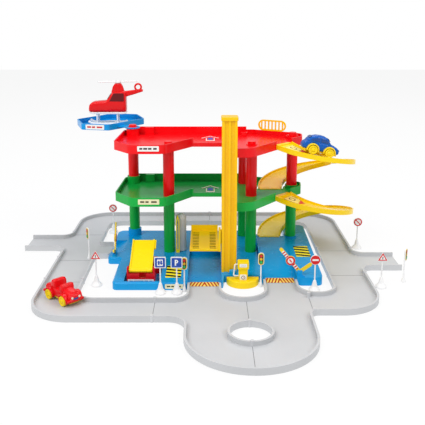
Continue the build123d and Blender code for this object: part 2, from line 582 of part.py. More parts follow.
# ---------------------------------------------------------------- helicopter pad
PAD_MID, PAD_BOTTOM, PAD_RIM = (-284.0, 250.0), UPPER_FLOOR + REAR_WALL - 6, 16.0
PAD_SHEET, PAD_WALL = 3.0, 4.0
HOOK_RADIUS, HOOK_WIDTH, HOOK_LENGTH = 20.0, 26.0, 45.0
pad_half = [(94, 5), (66, 89), (-10, 104)]
pad_corners = pad_half + [(-x, -y) for x, y in pad_half]
with BuildSketch() as pad_plan:
    with BuildLine():
        FilletPolyline(*[(PAD_MID[0] + x, PAD_MID[1] + y) for x, y in pad_corners], radius=10, close=True)
    make_face()
with BuildPart() as helipad:
    with BuildSketch(Plane.XY.offset(PAD_BOTTOM)):
        add(pad_plan.sketch)
    extrude(amount=PAD_RIM)
    with BuildSketch(Plane.XY.offset(PAD_BOTTOM + PAD_SHEET)):
        add(pad_plan.sketch)
        offset(amount=-PAD_WALL, kind=Kind.INTERSECTION, mode=Mode.REPLACE)
    extrude(amount=PAD_RIM, mode=Mode.SUBTRACT)
    # tab that hooks over the boss at the rear left corner of the deck
    hook = Location((*POSTS["left_rear"][0], UPPER_FLOOR + REAR_WALL), (0, 0, 142.4))
    with Locations(hook):
        Cylinder(HOOK_RADIUS, PAD_SHEET, align=(Align.CENTER, Align.CENTER, Align.MIN))
        Box(HOOK_LENGTH, HOOK_WIDTH, PAD_SHEET, align=(Align.MIN, Align.CENTER, Align.MIN))
        Cylinder(CAP_RING + 0.3, PAD_SHEET, align=(Align.CENTER, Align.CENTER, Align.MIN),
                 mode=Mode.SUBTRACT)
save(helipad.part, "helipad")

# ---------------------------------------------------------------- helicopter
HELI_Y, HELI_WIDTH, ROTOR_X = 230.0, 40.0, -257.0
PAD_FLOOR = PAD_BOTTOM + PAD_SHEET
SHAFT_RADIUS, SHAFT_BORE, MAST_TOP = 2.5, 2.58, 429.0
heli_side = Plane(origin=(8, HELI_Y, 0), x_dir=(1, 0, 0), z_dir=(0, -1, 0))
with BuildPart() as helicopter_body:
    with BuildSketch(heli_side):
        with BuildLine():
            Polyline(
                (-346, 351), (-348, 364), (-336, 379), (-298, 382), (-283, 405), (-246, 408), (-244, 351),
                close=True,
            )
        make_face()
    extrude(amount=HELI_WIDTH / 2, both=True)
    fillet(helicopter_body.edges().filter_by(Axis.Y), 3)
    fillet(helicopter_body.faces().sort_by(Axis.Y)[0].edges(), 2.4)
    fillet(helicopter_body.faces().sort_by(Axis.Y)[-1].edges(), 2.4)
    # mast, tail boom and looped fin
    with BuildSketch(heli_side):
        with BuildLine():
            Polyline((-284, 400), (-279, 429), (-254, 429), (-249, 400), close=True)
        make_face()
        with BuildLine():
            Polyline((-250, 391), (-250, 407), (-200, 413), (-196, 406), close=True)
        make_face()
        with Locations((-211, 419)):
            Circle(11)
            Circle(6, mode=Mode.SUBTRACT)
    extrude(amount=7, both=True)
    with Locations((ROTOR_X, HELI_Y, MAST_TOP)):
        Cylinder(SHAFT_BORE, 16, align=(Align.CENTER, Align.CENTER, Align.MAX), mode=Mode.SUBTRACT)
save(helicopter_body.part, "helicopter_body")

with BuildPart() as helicopter_undercarriage:
    with Locations((-288, HELI_Y, 345)):
        Box(96, 38, 6, align=(Align.CENTER, Align.CENTER, Align.MIN))
    for skid_y in (HELI_Y - 17, HELI_Y + 17):
        with Locations((-288, skid_y, PAD_FLOOR)):
            Box(104, 5, 5, align=(Align.CENTER, Align.CENTER, Align.MIN))
        for leg_x in (-316, -260):
            with Locations((leg_x, skid_y, PAD_FLOOR)):
                Cylinder(2.5, 33, align=(Align.CENTER, Align.CENTER, Align.MIN))
save(helicopter_undercarriage.part, "helicopter_undercarriage")

with BuildPart() as helicopter_rotor:
    with Locations((ROTOR_X, HELI_Y, 415)):
        Cylinder(SHAFT_RADIUS, 16, align=(Align.CENTER, Align.CENTER, Align.MIN))
    with Locations((ROTOR_X, HELI_Y, MAST_TOP + GAP)):
        Cylinder(7, 7.6, align=(Align.CENTER, Align.CENTER, Align.MIN))
    with BuildSketch(Plane.XY.offset(432)):
        for blade_turn in (8, 188):
            with Locations(Location((ROTOR_X, HELI_Y), blade_turn) * Location((32, 0))):
                SlotOverall(54, 15)
                SlotOverall(46, 8, mode=Mode.SUBTRACT)
        with Locations((ROTOR_X, HELI_Y)):
            Circle(7)
    extrude(amount=3)
save(helicopter_rotor.part, "helicopter_rotor")

# ---------------------------------------------------------------- service bay
FRAME_X, FRAME_Y, FRAME_TOP = (-197.0, -133.0), (-165.0, -60.0), 34.0
HINGE_Y, HINGE_Z = -158.0, 38.0
frame_mid = (sum(FRAME_X) / 2, sum(FRAME_Y) / 2)
with BuildPart() as service_frame:
    with Locations((*frame_mid, BAY_FLOOR)):
        Box(FRAME_X[1] - FRAME_X[0], FRAME_Y[1] - FRAME_Y[0], FRAME_TOP - BAY_FLOOR,
            align=(Align.CENTER, Align.CENTER, Align.MIN))
    for cheek_x in (FRAME_X[0] + 2, FRAME_X[1] - 2):
        with Locations((cheek_x, HINGE_Y, BAY_FLOOR)):
            Box(4, 14, HINGE_Z + 6 - BAY_FLOOR, align=(Align.CENTER, Align.CENTER, Align.MIN))
    with Locations((*frame_mid, BAY_FLOOR + 3)):
        Box(FRAME_X[1] - FRAME_X[0] - 8, FRAME_Y[1] - FRAME_Y[0] - 8, FRAME_TOP,
            align=(Align.CENTER, Align.CENTER, Align.MIN), mode=Mode.SUBTRACT)
    with Locations((frame_mid[0], HINGE_Y, HINGE_Z)):
        Box(FRAME_X[1] - FRAME_X[0] - 8, 20, 16, mode=Mode.SUBTRACT)
        Cylinder(SHAFT_BORE, 80, rotation=(0, 90, 0), mode=Mode.SUBTRACT)
    with Locations((frame_mid[0] + 4, FRAME_Y[0], 28)):
        Box(16, 12, 16, mode=Mode.SUBTRACT)
    with Locations((FRAME_X[1] + 5, -92, BAY_FLOOR)):
        Box(10, 12, 38, align=(Align.CENTER, Align.CENTER, Align.MIN))
save(service_frame.part, "service_frame")

PLATE_X, PLATE_LENGTH, PLATE_ANGLE = (-191.5, -138.5), 100.0, 26.0
with BuildPart() as service_platform:
    plate_width = PLATE_X[1] - PLATE_X[0]
    with Locations(Location((sum(PLATE_X) / 2, HINGE_Y, HINGE_Z), (PLATE_ANGLE, 0, 0))):
        with Locations((0, -6, 0)):
            Box(plate_width, PLATE_LENGTH, 4, align=(Align.CENTER, Align.MIN, Align.CENTER))
        with Locations((plate_width / 2, PLATE_LENGTH - 34, 0)):
            Box(8, 28, 4, align=(Align.CENTER, Align.MIN, Align.CENTER))
        for rim_x in (-plate_width / 2 + 1.5, plate_width / 2 - 1.5):
            with Locations((rim_x, -6, 2)):
                Box(3, PLATE_LENGTH, 3, align=(Align.CENTER, Align.MIN, Align.MIN))
        Cylinder(4.5, plate_width, rotation=(0, 90, 0))
        Cylinder(SHAFT_RADIUS, FRAME_X[1] - FRAME_X[0] - 1, rotation=(0, 90, 0))
save(service_platform.part, "service_platform")

# ---------------------------------------------------------------- car wash
BRUSH_RADIUS, BRUSH_TOP = 13.5, 117.0
with BuildPart() as wash_brush:
    with Locations((*BRUSH_PLACE, BASE_TOP + GAP)):
        Cylinder(BRUSH_RADIUS, BRUSH_TOP - BASE_TOP - GAP, align=(Align.CENTER, Align.CENTER, Align.MIN))
        fillet(wash_brush.edges().group_by(Axis.Z)[-1], 9)
        Cylinder(SPINDLE_RADIUS + 0.08, 16, align=(Align.CENTER, Align.CENTER, Align.MIN), mode=Mode.SUBTRACT)
save(wash_brush.part, "wash_brush")

with BuildPart() as wash_marker:
    with BuildSketch(Plane(origin=(-87, 11, BASE_TOP), x_dir=(1, 0, 0), z_dir=(0, -1, 0))):
        with BuildLine():
            Polyline((-4.5, 0), (-4.5, 84), (0, 101), (4.5, 84), (4.5, 0), close=True)
        make_face()
        with BuildLine():
            Polyline((-2, 8), (-2, 82), (0, 92), (2, 82), (2, 8), close=True)
        make_face(mode=Mode.SUBTRACT)
    extrude(amount=3)
save(wash_marker.part, "wash_marker")

# ---------------------------------------------------------------- barriers
ARM_LENGTH, ARM_WIDTH, ARM_THICKNESS, DISC_RADIUS = 74.0, 8.0, 3.0, 11.0
PIVOT_RISE, PIN_RADIUS = 7.5, 2.0


def barrier(name, swing, arm_angle):
    """Clevis bracket with its pin, and the arm that swings in the given plane."""
    with BuildPart() as bracket:
        for side in (-3.5, 3.5):
            with BuildSketch(swing.offset(side)):
                with Locations((0, -1.5)):
                    Rectangle(12, PIVOT_RISE + 4.5)
            extrude(amount=1.5, both=True)
        with BuildSketch(swing):
            with Locations((0, -PIVOT_RISE + 1)):
                Rectangle(16, 2)
        extrude(amount=7, both=True)
        with BuildSketch(swing):
            Circle(PIN_RADIUS)
        extrude(amount=4, both=True)
    save(bracket.part, f"{name}_bracket")
    with BuildPart() as arm:
        with BuildSketch(swing):
            with Locations(Location((0, 0), arm_angle) * Location((ARM_LENGTH / 2 - 2, 0))):
                SlotOverall(ARM_LENGTH + 4, ARM_WIDTH)
                Circle(DISC_RADIUS)
            with Locations(Location((0, 0), arm_angle + 93) * Location((15, 0))):
                SlotOverall(38, ARM_WIDTH)
            Circle(PIN_RADIUS + 0.08, mode=Mode.SUBTRACT)
        extrude(amount=ARM_THICKNESS / 2, both=True)
    save(arm.part, f"{name}_arm")


RIGHT_ANGLE, LEFT_ANGLE = 51.0, 66.0  # how far each arm is raised at rest
right_swing = Plane(origin=(*RIGHT_PIVOT, SEAT_TOP + PIVOT_RISE), x_dir=(-1, 0, 0), z_dir=(0, 1, 0))
left_swing = Plane(origin=(*LEFT_PIVOT, BASE_TOP + PIVOT_RISE), x_dir=(0, 1, 0), z_dir=(1, 0, 0))
barrier("barrier_right", right_swing, RIGHT_ANGLE)
barrier("barrier_left", left_swing, LEFT_ANGLE)

# ---------------------------------------------------------------- petrol pump
ISLAND_MID, ISLAND_RADIUS, ISLAND_TOP = (71.0, -143.0), 38.0, 16.0
PUMP_X, PUMP_Y, HOSE_RADIUS = 71.0, -160.0, 1.6
with BuildPart() as pump_island:
    with BuildSketch():
        with Locations(ISLAND_MID):
            Circle(ISLAND_RADIUS)
            Rectangle(2 * ISLAND_RADIUS, ISLAND_RADIUS, align=(Align.CENTER, Align.MIN), mode=Mode.SUBTRACT)
    extrude(amount=ISLAND_TOP)
    fillet(pump_island.edges().group_by(Axis.Z)[-1], 4)
save(pump_island.part, "pump_island")

with BuildPart() as pump_body:
    with Locations((PUMP_X, PUMP_Y, ISLAND_TOP)):
        Box(21, 13, 30, align=(Align.CENTER, Align.CENTER, Align.MIN))
    with Locations((PUMP_X, PUMP_Y, ISLAND_TOP + 27)):
        Box(26, 18, 18, align=(Align.CENTER, Align.CENTER, Align.MIN))
    fillet(pump_body.edges().filter_by(Axis.Z), 1.5)
    fillet(pump_body.edges().group_by(Axis.Z)[-1], 1.5)
    with Locations((PUMP_X, PUMP_Y - 6, ISLAND_TOP)):
        Box(17, 3, 14, align=(Align.CENTER, Align.CENTER, Align.MIN))
        with Locations((0, -1.5, 7)):
            Cylinder(4.5, 1.2, rotation=(90, 0, 0), align=(Align.CENTER, Align.CENTER, Align.MIN))
save(pump_body.part, "pump_body")

with BuildPart() as pump_nozzle:
    with BuildLine():
        FilletPolyline((58, PUMP_Y, 52), (52, PUMP_Y, 52), (49, PUMP_Y, 24), (60.5, PUMP_Y, 24), radius=3)
    with BuildSketch(Plane(origin=(58, PUMP_Y, 52), z_dir=(-1, 0, 0))):
        Circle(HOSE_RADIUS)
    sweep()
save(pump_nozzle.part, "pump_nozzle")

# ---------------------------------------------------------------- road signs and lights
SIGN_TOP, SIGN_SHEET, FOOT_RADIUS, LIGHT_FOOT_RADIUS, POLE_RADIUS = 88.0, 2.0, 13.0, 5.0, 1.6


def stand(place, height, foot_radius):
    """Pole with a flared foot, turned about its own axis."""
    with BuildSketch(Plane.XZ) as half:
        with BuildLine():
            Polyline(
                (0, 0), (foot_radius, 0), (foot_radius, 3), (foot_radius / 2, 11), (foot_radius / 4, 24),
                (POLE_RADIUS, 26), (POLE_RADIUS, height), (0, height), close=True,
            )
        make_face()
    return Pos(*place) * revolve(half.sketch, axis=Axis.Z)


def sign_group(label, places, height, foot_radius, plate):
    """Stands with the same upright plate on each, set just in front of the pole and turned
    about it by the last number of its place."""
    poles = [stand(place[:3], height, foot_radius) for place in places]
    with BuildPart() as group:
        for (x, y, foot_z, turn), pole in zip(places, poles):
            add(pole)
            facing = Vector(sin(radians(turn)), -cos(radians(turn)), 0)
            upright = Plane(
                origin=Vector(x, y, foot_z + height) + facing,
                x_dir=(cos(radians(turn)), sin(radians(turn)), 0), z_dir=facing,
            )
            with BuildSketch(upright):
                add(plate)
            extrude(amount=SIGN_SHEET)
    save(group.part, label)


square_plate = Pos(0, -10) * RectangleRounded(26, 26, 2)
round_plate = Pos(0, -8) * Circle(11.5)
triangle_plate = Pos(0, -8) * RegularPolygon(13, 3, rotation=90)
light_plate = Pos(0, -10) * RectangleRounded(14, 30, 6.5)
square_places = [(-117, -204, 0, 0), (-80, -204, 0, 0)]
round_places = [(232, -188, 0, 0), (-281, 222, 0, 0), (389, 92, 0, 0)]
triangle_places = [(-268, -160, 0, 0), (388, -170, 0, 0)]
light_places = [
    (-63.5, -194.5, 0, 0), (111.5, -166, 0, 0), (-313, 3, ROAD_FLOOR, -58), (449, -138, 0, 58),
]
sign_group("square_signs", square_places, SIGN_TOP - 4, FOOT_RADIUS, square_plate)
sign_group("round_signs", round_places, SIGN_TOP - 6, FOOT_RADIUS, round_plate)
sign_group("triangle_signs", triangle_places, SIGN_TOP - 8, FOOT_RADIUS, triangle_plate)
sign_group("traffic_lights", light_places, SIGN_TOP - 10, LIGHT_FOOT_RADIUS, light_plate)

# ---------------------------------------------------------------- cars
WHEEL_WIDTH, WHEEL_Y, AXLE_RADIUS, WELL = 8.0, 18.5, 1.5, 1.3
BODY_HALF, CHASSIS_SIZE, CHASSIS_BOTTOM = 17.0, (84.0, 24.0, 9.0), 6.0
roadster = [
    (-47, 9), (-47, 26), (-43, 31), (-24, 33), (-18, 45), (-11, 47), (-6, 31), (8, 30), (14, 42), (18, 42),
    (19, 33), (42, 27), (47, 21), (47, 9),
]
beetle = [
    (-47, 12), (-46, 22), (-40, 31), (-30, 40), (-18, 46), (-4, 48), (8, 45), (17, 35), (32, 31), (43, 25),
    (47, 17), (47, 9), (-40, 9),
]


def car(name, place, profile, half_width, wheelbase):
    """Body, chassis and two wheel sets of a small car that stands at the given place."""
    side = Plane.XZ
    with BuildPart() as shell:
        with BuildSketch(side):
            with BuildLine():
                FilletPolyline(*profile, radius=2.5, close=True)
            make_face()
        extrude(amount=half_width, both=True)
        fillet(shell.faces().sort_by(Axis.Y)[-1].edges(), 2.2)
        fillet(shell.faces().sort_by(Axis.Y)[0].edges(), 2.2)
        for axle_x in (-wheelbase / 2, wheelbase / 2):
            with BuildSketch(side):
                with Locations((axle_x, WHEEL_RADIUS)):
                    Circle(WHEEL_RADIUS + WELL + 3)
                    Rectangle(60, 40, align=(Align.CENTER, Align.MAX), mode=Mode.SUBTRACT)
            extrude(amount=CAR_WIDTH / 2, both=True)
            for wheel_y in (-WHEEL_Y, WHEEL_Y):
                with Locations((axle_x, wheel_y, WHEEL_RADIUS)):
                    Cylinder(WHEEL_RADIUS + WELL, WHEEL_WIDTH + 5, rotation=(90, 0, 0), mode=Mode.SUBTRACT)
        with Locations((0, 0, CHASSIS_BOTTOM)):
            Box(*CHASSIS_SIZE, align=(Align.CENTER, Align.CENTER, Align.MIN), mode=Mode.SUBTRACT)
    save(place * shell.part, f"{name}_body")
    with BuildPart() as chassis:
        with Locations((0, 0, CHASSIS_BOTTOM)):
            Box(*CHASSIS_SIZE, align=(Align.CENTER, Align.CENTER, Align.MIN))
        for axle_x in (-wheelbase / 2, wheelbase / 2):
            with Locations((axle_x, 0, WHEEL_RADIUS)):
                Cylinder(AXLE_RADIUS + 0.08, 30, rotation=(90, 0, 0), mode=Mode.SUBTRACT)
    save(place * chassis.part, f"{name}_chassis")
    for end, axle_x in (("rear", -wheelbase / 2), ("front", wheelbase / 2)):
        with BuildPart() as wheels:
            with Locations((axle_x, 0, WHEEL_RADIUS)):
                Cylinder(AXLE_RADIUS, 40, rotation=(90, 0, 0))
            for wheel_y in (-WHEEL_Y, WHEEL_Y):
                with Locations((axle_x, wheel_y, WHEEL_RADIUS)):
                    Cylinder(WHEEL_RADIUS, WHEEL_WIDTH, rotation=(90, 0, 0))
        save(place * wheels.part, f"{name}_{end}_wheels")


ramp_slope = degrees(atan2(LEVEL_STEP, 2 * pi * RAMP_RADIUS * RAMP_TURN / 360))
RED_CAR = Pos(-326, -248, ROAD_FLOOR + 0.3) * Rot(0, 0, -45)
BLUE_CAR = Pos(260, -3, 277.3) * Rot(0, 0, 8) * Rot(0, ramp_slope, 0)
car("red_car", RED_CAR, roadster, BODY_HALF, 54)
car("blue_car", BLUE_CAR, beetle, BODY_HALF, 43)
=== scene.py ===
import math

import bpy
import numpy as np
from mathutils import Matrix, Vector


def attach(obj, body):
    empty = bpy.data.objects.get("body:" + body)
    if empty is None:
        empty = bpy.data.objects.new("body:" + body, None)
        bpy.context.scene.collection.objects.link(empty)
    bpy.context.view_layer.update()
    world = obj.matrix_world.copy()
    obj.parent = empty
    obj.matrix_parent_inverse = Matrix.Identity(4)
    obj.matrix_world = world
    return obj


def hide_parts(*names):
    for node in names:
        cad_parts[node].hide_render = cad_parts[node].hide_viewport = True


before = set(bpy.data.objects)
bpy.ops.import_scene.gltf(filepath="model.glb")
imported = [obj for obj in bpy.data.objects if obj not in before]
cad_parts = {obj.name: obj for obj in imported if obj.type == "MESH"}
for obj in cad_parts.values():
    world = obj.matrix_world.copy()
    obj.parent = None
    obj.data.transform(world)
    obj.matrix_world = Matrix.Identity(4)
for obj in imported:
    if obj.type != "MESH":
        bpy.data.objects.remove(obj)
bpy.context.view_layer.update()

# ---------------------------------------------------------------- table top, daylight and camera
# The set stands on a white table top under broad, soft daylight from the front and above.
# The camera looks a little down on it, from the place that the photograph's depth lines give.
MM = 0.001
CAMERA_PLACE, CAMERA_DIP = (-10, -1610, 615), 12.0
FOCAL_MM, SENSOR_MM = 56.5, 36.0
SHIFT_RIGHT, SHIFT_UP = 0.0106, -0.133
TABLE_HALF, TABLE_DROP, TABLE_GLOW = 6000, 0.8, 0.86
ROOM_STRENGTH, PAPER_STRENGTH = 0.55, 1.0
WINDOWS_AIM = (0, 0, 100)
WINDOWS = [  # place, size and strength of each soft light
    ((-1500, -1800, 2600), 2200, 62),
    ((1900, -900, 2300), 1800, 30),
    ((200, 1900, 2700), 2000, 26),
]

table_mesh = bpy.data.meshes.new("table_top")
table_corners = np.array([(-1, -1, 0), (1, -1, 0), (1, 1, 0), (-1, 1, 0)]) * TABLE_HALF - (0, 0, TABLE_DROP)
table_mesh.from_pydata((table_corners * MM).tolist(), [], [(0, 1, 2, 3)])
table_top = bpy.data.objects.new("table_top", table_mesh)
bpy.context.collection.objects.link(table_top)
white_top = bpy.data.materials.new("white_table")
white_top.use_nodes = True
tree = white_top.node_tree
tree.nodes["Principled BSDF"].inputs["Base Color"].default_value = (0.86, 0.86, 0.87, 1)
tree.nodes["Principled BSDF"].inputs["Roughness"].default_value = 0.9
glow = tree.nodes.new("ShaderNodeEmission")
glow.inputs["Color"].default_value = (1, 1, 1, 1)
blend = tree.nodes.new("ShaderNodeMixShader")
blend.inputs[0].default_value = TABLE_GLOW
tree.links.new(tree.nodes["Principled BSDF"].outputs[0], blend.inputs[1])
tree.links.new(glow.outputs[0], blend.inputs[2])
tree.links.new(blend.outputs[0], tree.nodes["Material Output"].inputs["Surface"])
table_mesh.materials.append(white_top)

sky = bpy.data.worlds.new("soft_room")
bpy.context.scene.world = sky
sky.use_nodes = True
tree = sky.node_tree
room = tree.nodes["Background"]
room.inputs["Color"].default_value = (1, 1, 1, 1)
room.inputs["Strength"].default_value = ROOM_STRENGTH
paper = tree.nodes.new("ShaderNodeBackground")
paper.inputs["Color"].default_value = (1, 1, 1, 1)
paper.inputs["Strength"].default_value = PAPER_STRENGTH
seen = tree.nodes.new("ShaderNodeLightPath")
pick = tree.nodes.new("ShaderNodeMixShader")
tree.links.new(seen.outputs["Is Camera Ray"], pick.inputs[0])
tree.links.new(room.outputs[0], pick.inputs[1])
tree.links.new(paper.outputs[0], pick.inputs[2])
tree.links.new(pick.outputs[0], tree.nodes["World Output"].inputs["Surface"])

for number, (place, size, strength) in enumerate(WINDOWS):
    lamp = bpy.data.lights.new(f"window_{number}", "AREA")
    lamp.energy, lamp.size = strength, size * MM
    window = bpy.data.objects.new(f"window_{number}", lamp)
    window.location = Vector(place) * MM
    beam = Vector(WINDOWS_AIM) * MM - window.location
    window.rotation_euler = beam.to_track_quat("-Z", "Y").to_euler()
    bpy.context.collection.objects.link(window)

eye = bpy.data.cameras.new("camera")
eye.lens, eye.sensor_width = FOCAL_MM, SENSOR_MM
eye.shift_x, eye.shift_y = SHIFT_RIGHT, SHIFT_UP
eye.clip_start, eye.clip_end = 0.01, 50
camera = bpy.data.objects.new("camera", eye)
camera.location = Vector(CAMERA_PLACE) * MM
camera.rotation_euler = (math.radians(90 - CAMERA_DIP), 0, 0)
bpy.context.collection.objects.link(camera)
bpy.context.scene.camera = camera
bpy.context.scene.view_settings.view_transform = "Standard"

# ---------------------------------------------------------------- ring road
# Eleven grey pieces, each injection moulded with raised rims, stand end to end on the table.
# Their surface is faintly stippled, and small round clips in the rims hold the pieces together.
ROAD_GREY, ROAD_DARK = (0.56, 0.57, 0.585), (0.53, 0.54, 0.555)
CLIP_GREY = (0.60, 0.61, 0.63)
SHADOW_SHARE, SHADE_FROM, SHADE_TO = 0.93, 0.32, 0.62
GLOSSIER, DULLER = 0.07, 0.10
FLOW_SCALE, HANDLING_SCALE = 9, 55


def moulded(name, colour, dark=None, roughness=0.34, coat=0.04, grain=1500, grain_depth=0.00004):
    """Moulded plastic: its colour drifts slowly between two close shades with the flow of the
    plastic, the gloss varies a little, and a fine grain like orange peel lies on the surface."""
    dark = dark or tuple(SHADOW_SHARE * channel for channel in colour)
    material = bpy.data.materials.new(name)
    material.use_nodes = True
    nodes, links = material.node_tree.nodes, material.node_tree.links
    shader = nodes["Principled BSDF"]
    shader.inputs["Coat Weight"].default_value = coat
    shader.inputs["Coat Roughness"].default_value = 0.12
    shader.inputs["Specular IOR Level"].default_value = 0.2
    place = nodes.new("ShaderNodeTexCoord")
    flow = nodes.new("ShaderNodeTexNoise")
    flow.inputs["Scale"].default_value = FLOW_SCALE
    flow.inputs["Detail"].default_value = 3
    shade = nodes.new("ShaderNodeValToRGB")
    shade.color_ramp.elements[0].position = SHADE_FROM
    shade.color_ramp.elements[0].color = (*dark, 1)
    shade.color_ramp.elements[1].position = SHADE_TO
    shade.color_ramp.elements[1].color = (*colour, 1)
    handling = nodes.new("ShaderNodeTexNoise")
    handling.inputs["Scale"].default_value = HANDLING_SCALE
    handling.inputs["Detail"].default_value = 4
    gloss = nodes.new("ShaderNodeMapRange")
    gloss.inputs["To Min"].default_value = roughness - GLOSSIER
    gloss.inputs["To Max"].default_value = roughness + DULLER
    peel = nodes.new("ShaderNodeTexNoise")
    peel.inputs["Scale"].default_value = grain
    peel.inputs["Detail"].default_value = 2
    bump = nodes.new("ShaderNodeBump")
    bump.inputs["Strength"].default_value = 0.35
    bump.inputs["Distance"].default_value = grain_depth
    links.new(place.outputs["Object"], flow.inputs["Vector"])
    links.new(place.outputs["Object"], handling.inputs["Vector"])
    links.new(place.outputs["Object"], peel.inputs["Vector"])
    links.new(flow.outputs["Fac"], shade.inputs["Fac"])
    links.new(shade.outputs["Color"], shader.inputs["Base Color"])
    links.new(handling.outputs["Fac"], gloss.inputs["Value"])
    links.new(gloss.outputs["Result"], shader.inputs["Roughness"])
    links.new(peel.outputs["Fac"], bump.inputs["Height"])
    links.new(bump.outputs["Normal"], shader.inputs["Normal"])
    return material


def nodes_named(start):
    """The CAD nodes whose names start this way."""
    return [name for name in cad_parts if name.startswith(start)]


def dress(material, *names):
    """Gives CAD nodes their material."""
    for name in names:
        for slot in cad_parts[name].material_slots:
            slot.material = material


road_plastic = moulded("road_plastic", ROAD_GREY, ROAD_DARK, roughness=0.45, coat=0.08, grain=700,
                       grain_depth=0.0001)
dress(road_plastic, *nodes_named("track_"))
dress(moulded("clip_plastic", CLIP_GREY), "track_clips")

# ---------------------------------------------------------------- base plate
# The blue ground floor: one ribbed moulding with a lift bay, a service bay and a sloping drive.
# Printed warning stripes are stuck on at the two drives, and beside the lift and the slope.
BASE_BLUE, BASE_DEEP = (0.002, 0.33, 0.72), (0.002, 0.29, 0.67)
STICKER_GAP, STICKER_THICKNESS, THIN_FILM = 0.05, 0.35, 0.3
ROAD_FLOOR, SEAM_WIDTH, SEAM_THICKNESS = 4, 1.0, 0.12
STRIPE_BROWN, STRIPE_CREAM = (0.50, 0.05, 0.01), (0.95, 0.70, 0.14)
STRIPE_BLACK, STRIPE_YELLOW = (0.006, 0.006, 0.008), (0.94, 0.80, 0.02)
PAPER_WHITE = (0.86, 0.86, 0.84)
dress(moulded("base_plastic", BASE_BLUE, BASE_DEEP, roughness=0.24), "base_plate", "barrier_right_bracket",
      "barrier_left_bracket")


def printed(name, ink, paper_colour, pattern):
    """Printed film: the pattern function gives a mask from the piece's UV map, which mixes ink
    over paper, under a thin, nearly matte varnish with faint waviness."""
    material = bpy.data.materials.new(name)
    material.use_nodes = True
    nodes, links = material.node_tree.nodes, material.node_tree.links
    shader = nodes["Principled BSDF"]
    shader.inputs["Roughness"].default_value = 0.5
    shader.inputs["Specular IOR Level"].default_value = 0.15
    shader.inputs["Coat Weight"].default_value = 0.04
    shader.inputs["Coat Roughness"].default_value = 0.15
    chart = nodes.new("ShaderNodeUVMap")
    chart.uv_map = "chart"
    split = nodes.new("ShaderNodeSeparateXYZ")
    links.new(chart.outputs["UV"], split.inputs[0])

    def maths(operation, *values):
        """One Math node; numbers are set on it and sockets are linked to it."""
        node = nodes.new("ShaderNodeMath")
        node.operation = operation
        for socket, value in zip(node.inputs, values):
            if isinstance(value, (int, float)):
                socket.default_value = value
            else:
                links.new(value, socket)
        return node.outputs[0]

    mask = pattern(maths, split.outputs["X"], split.outputs["Y"])
    mix = nodes.new("ShaderNodeMix")
    mix.data_type = "RGBA"
    mix.inputs["A"].default_value = (*paper_colour, 1)
    mix.inputs["B"].default_value = (*ink, 1)
    links.new(mask, mix.inputs["Factor"])
    links.new(mix.outputs["Result"], shader.inputs["Base Color"])
    place = nodes.new("ShaderNodeTexCoord")
    waviness = nodes.new("ShaderNodeTexNoise")
    waviness.inputs["Scale"].default_value = 260
    bump = nodes.new("ShaderNodeBump")
    bump.inputs["Strength"].default_value = 0.2
    bump.inputs["Distance"].default_value = 0.0001
    links.new(place.outputs["Object"], waviness.inputs["Vector"])
    links.new(waviness.outputs["Fac"], bump.inputs["Height"])
    links.new(bump.outputs["Normal"], shader.inputs["Normal"])
    return material


def chevrons(count, lean):
    """Stripes that lean away from the middle: the fraction of count times the distance from the
    middle plus lean times the height is compared with one half."""
    def pattern(maths, u, v):
        side = maths("ABSOLUTE", maths("SUBTRACT", u, 0.5))
        phase = maths("ADD", maths("MULTIPLY", side, count), maths("MULTIPLY", v, lean))
        return maths("GREATER_THAN", maths("FRACT", phase), 0.5)
    return pattern


def stripes(count, lean):
    """Parallel slanting stripes: the fraction of count times height plus lean times width."""
    def pattern(maths, u, v):
        phase = maths("ADD", maths("MULTIPLY", v, count), maths("MULTIPLY", u, lean))
        return maths("GREATER_THAN", maths("FRACT", phase), 0.5)
    return pattern


def place_mesh(name, points, faces, chart, material, body, smooth):
    """Puts points in millimetres, faces and a flat chart into a mesh in metres on its body."""
    mesh = bpy.data.meshes.new(name)
    mesh.from_pydata((np.asarray(points) * MM).tolist(), [], faces)
    corners = np.empty(len(mesh.loops), dtype=np.int32)
    mesh.loops.foreach_get("vertex_index", corners)
    layer = mesh.uv_layers.new(name="chart")
    layer.data.foreach_set("uv", np.asarray(chart, dtype=np.float32)[corners].ravel())
    mesh.polygons.foreach_set("use_smooth", np.full(len(mesh.polygons), smooth))
    mesh.materials.append(material)
    piece = bpy.data.objects.new(name, mesh)
    bpy.context.collection.objects.link(piece)
    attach(piece, body)
    return piece


def plate(name, outline, middle, along, up, material, body, thickness=STICKER_THICKNESS):
    """A flat shape lying on a face: the outline, in millimetres along two directions from its
    middle, is copied once on the face and once raised by the thickness, and walled between."""
    outline = np.asarray(outline, dtype=float)
    along, up = np.asarray(along, dtype=float), np.asarray(up, dtype=float)
    along, up = along / np.linalg.norm(along), up / np.linalg.norm(up)
    out = np.cross(along, up)
    low = np.asarray(middle) + outline[:, :1] * along + outline[:, 1:] * up + STICKER_GAP * out
    points = np.vstack([low, low + thickness * out])
    count = len(outline)
    ring = np.arange(count)
    after = np.roll(ring, -1)
    faces = [tuple(range(count - 1, -1, -1)), tuple(range(count, 2 * count))]
    faces += np.stack([ring, after, after + count, ring + count], axis=1).tolist()
    span = np.ptp(outline, axis=0)
    chart = (outline - outline.min(axis=0)) / span
    return place_mesh(name, points, faces, np.vstack([chart, chart]), material, body, False)


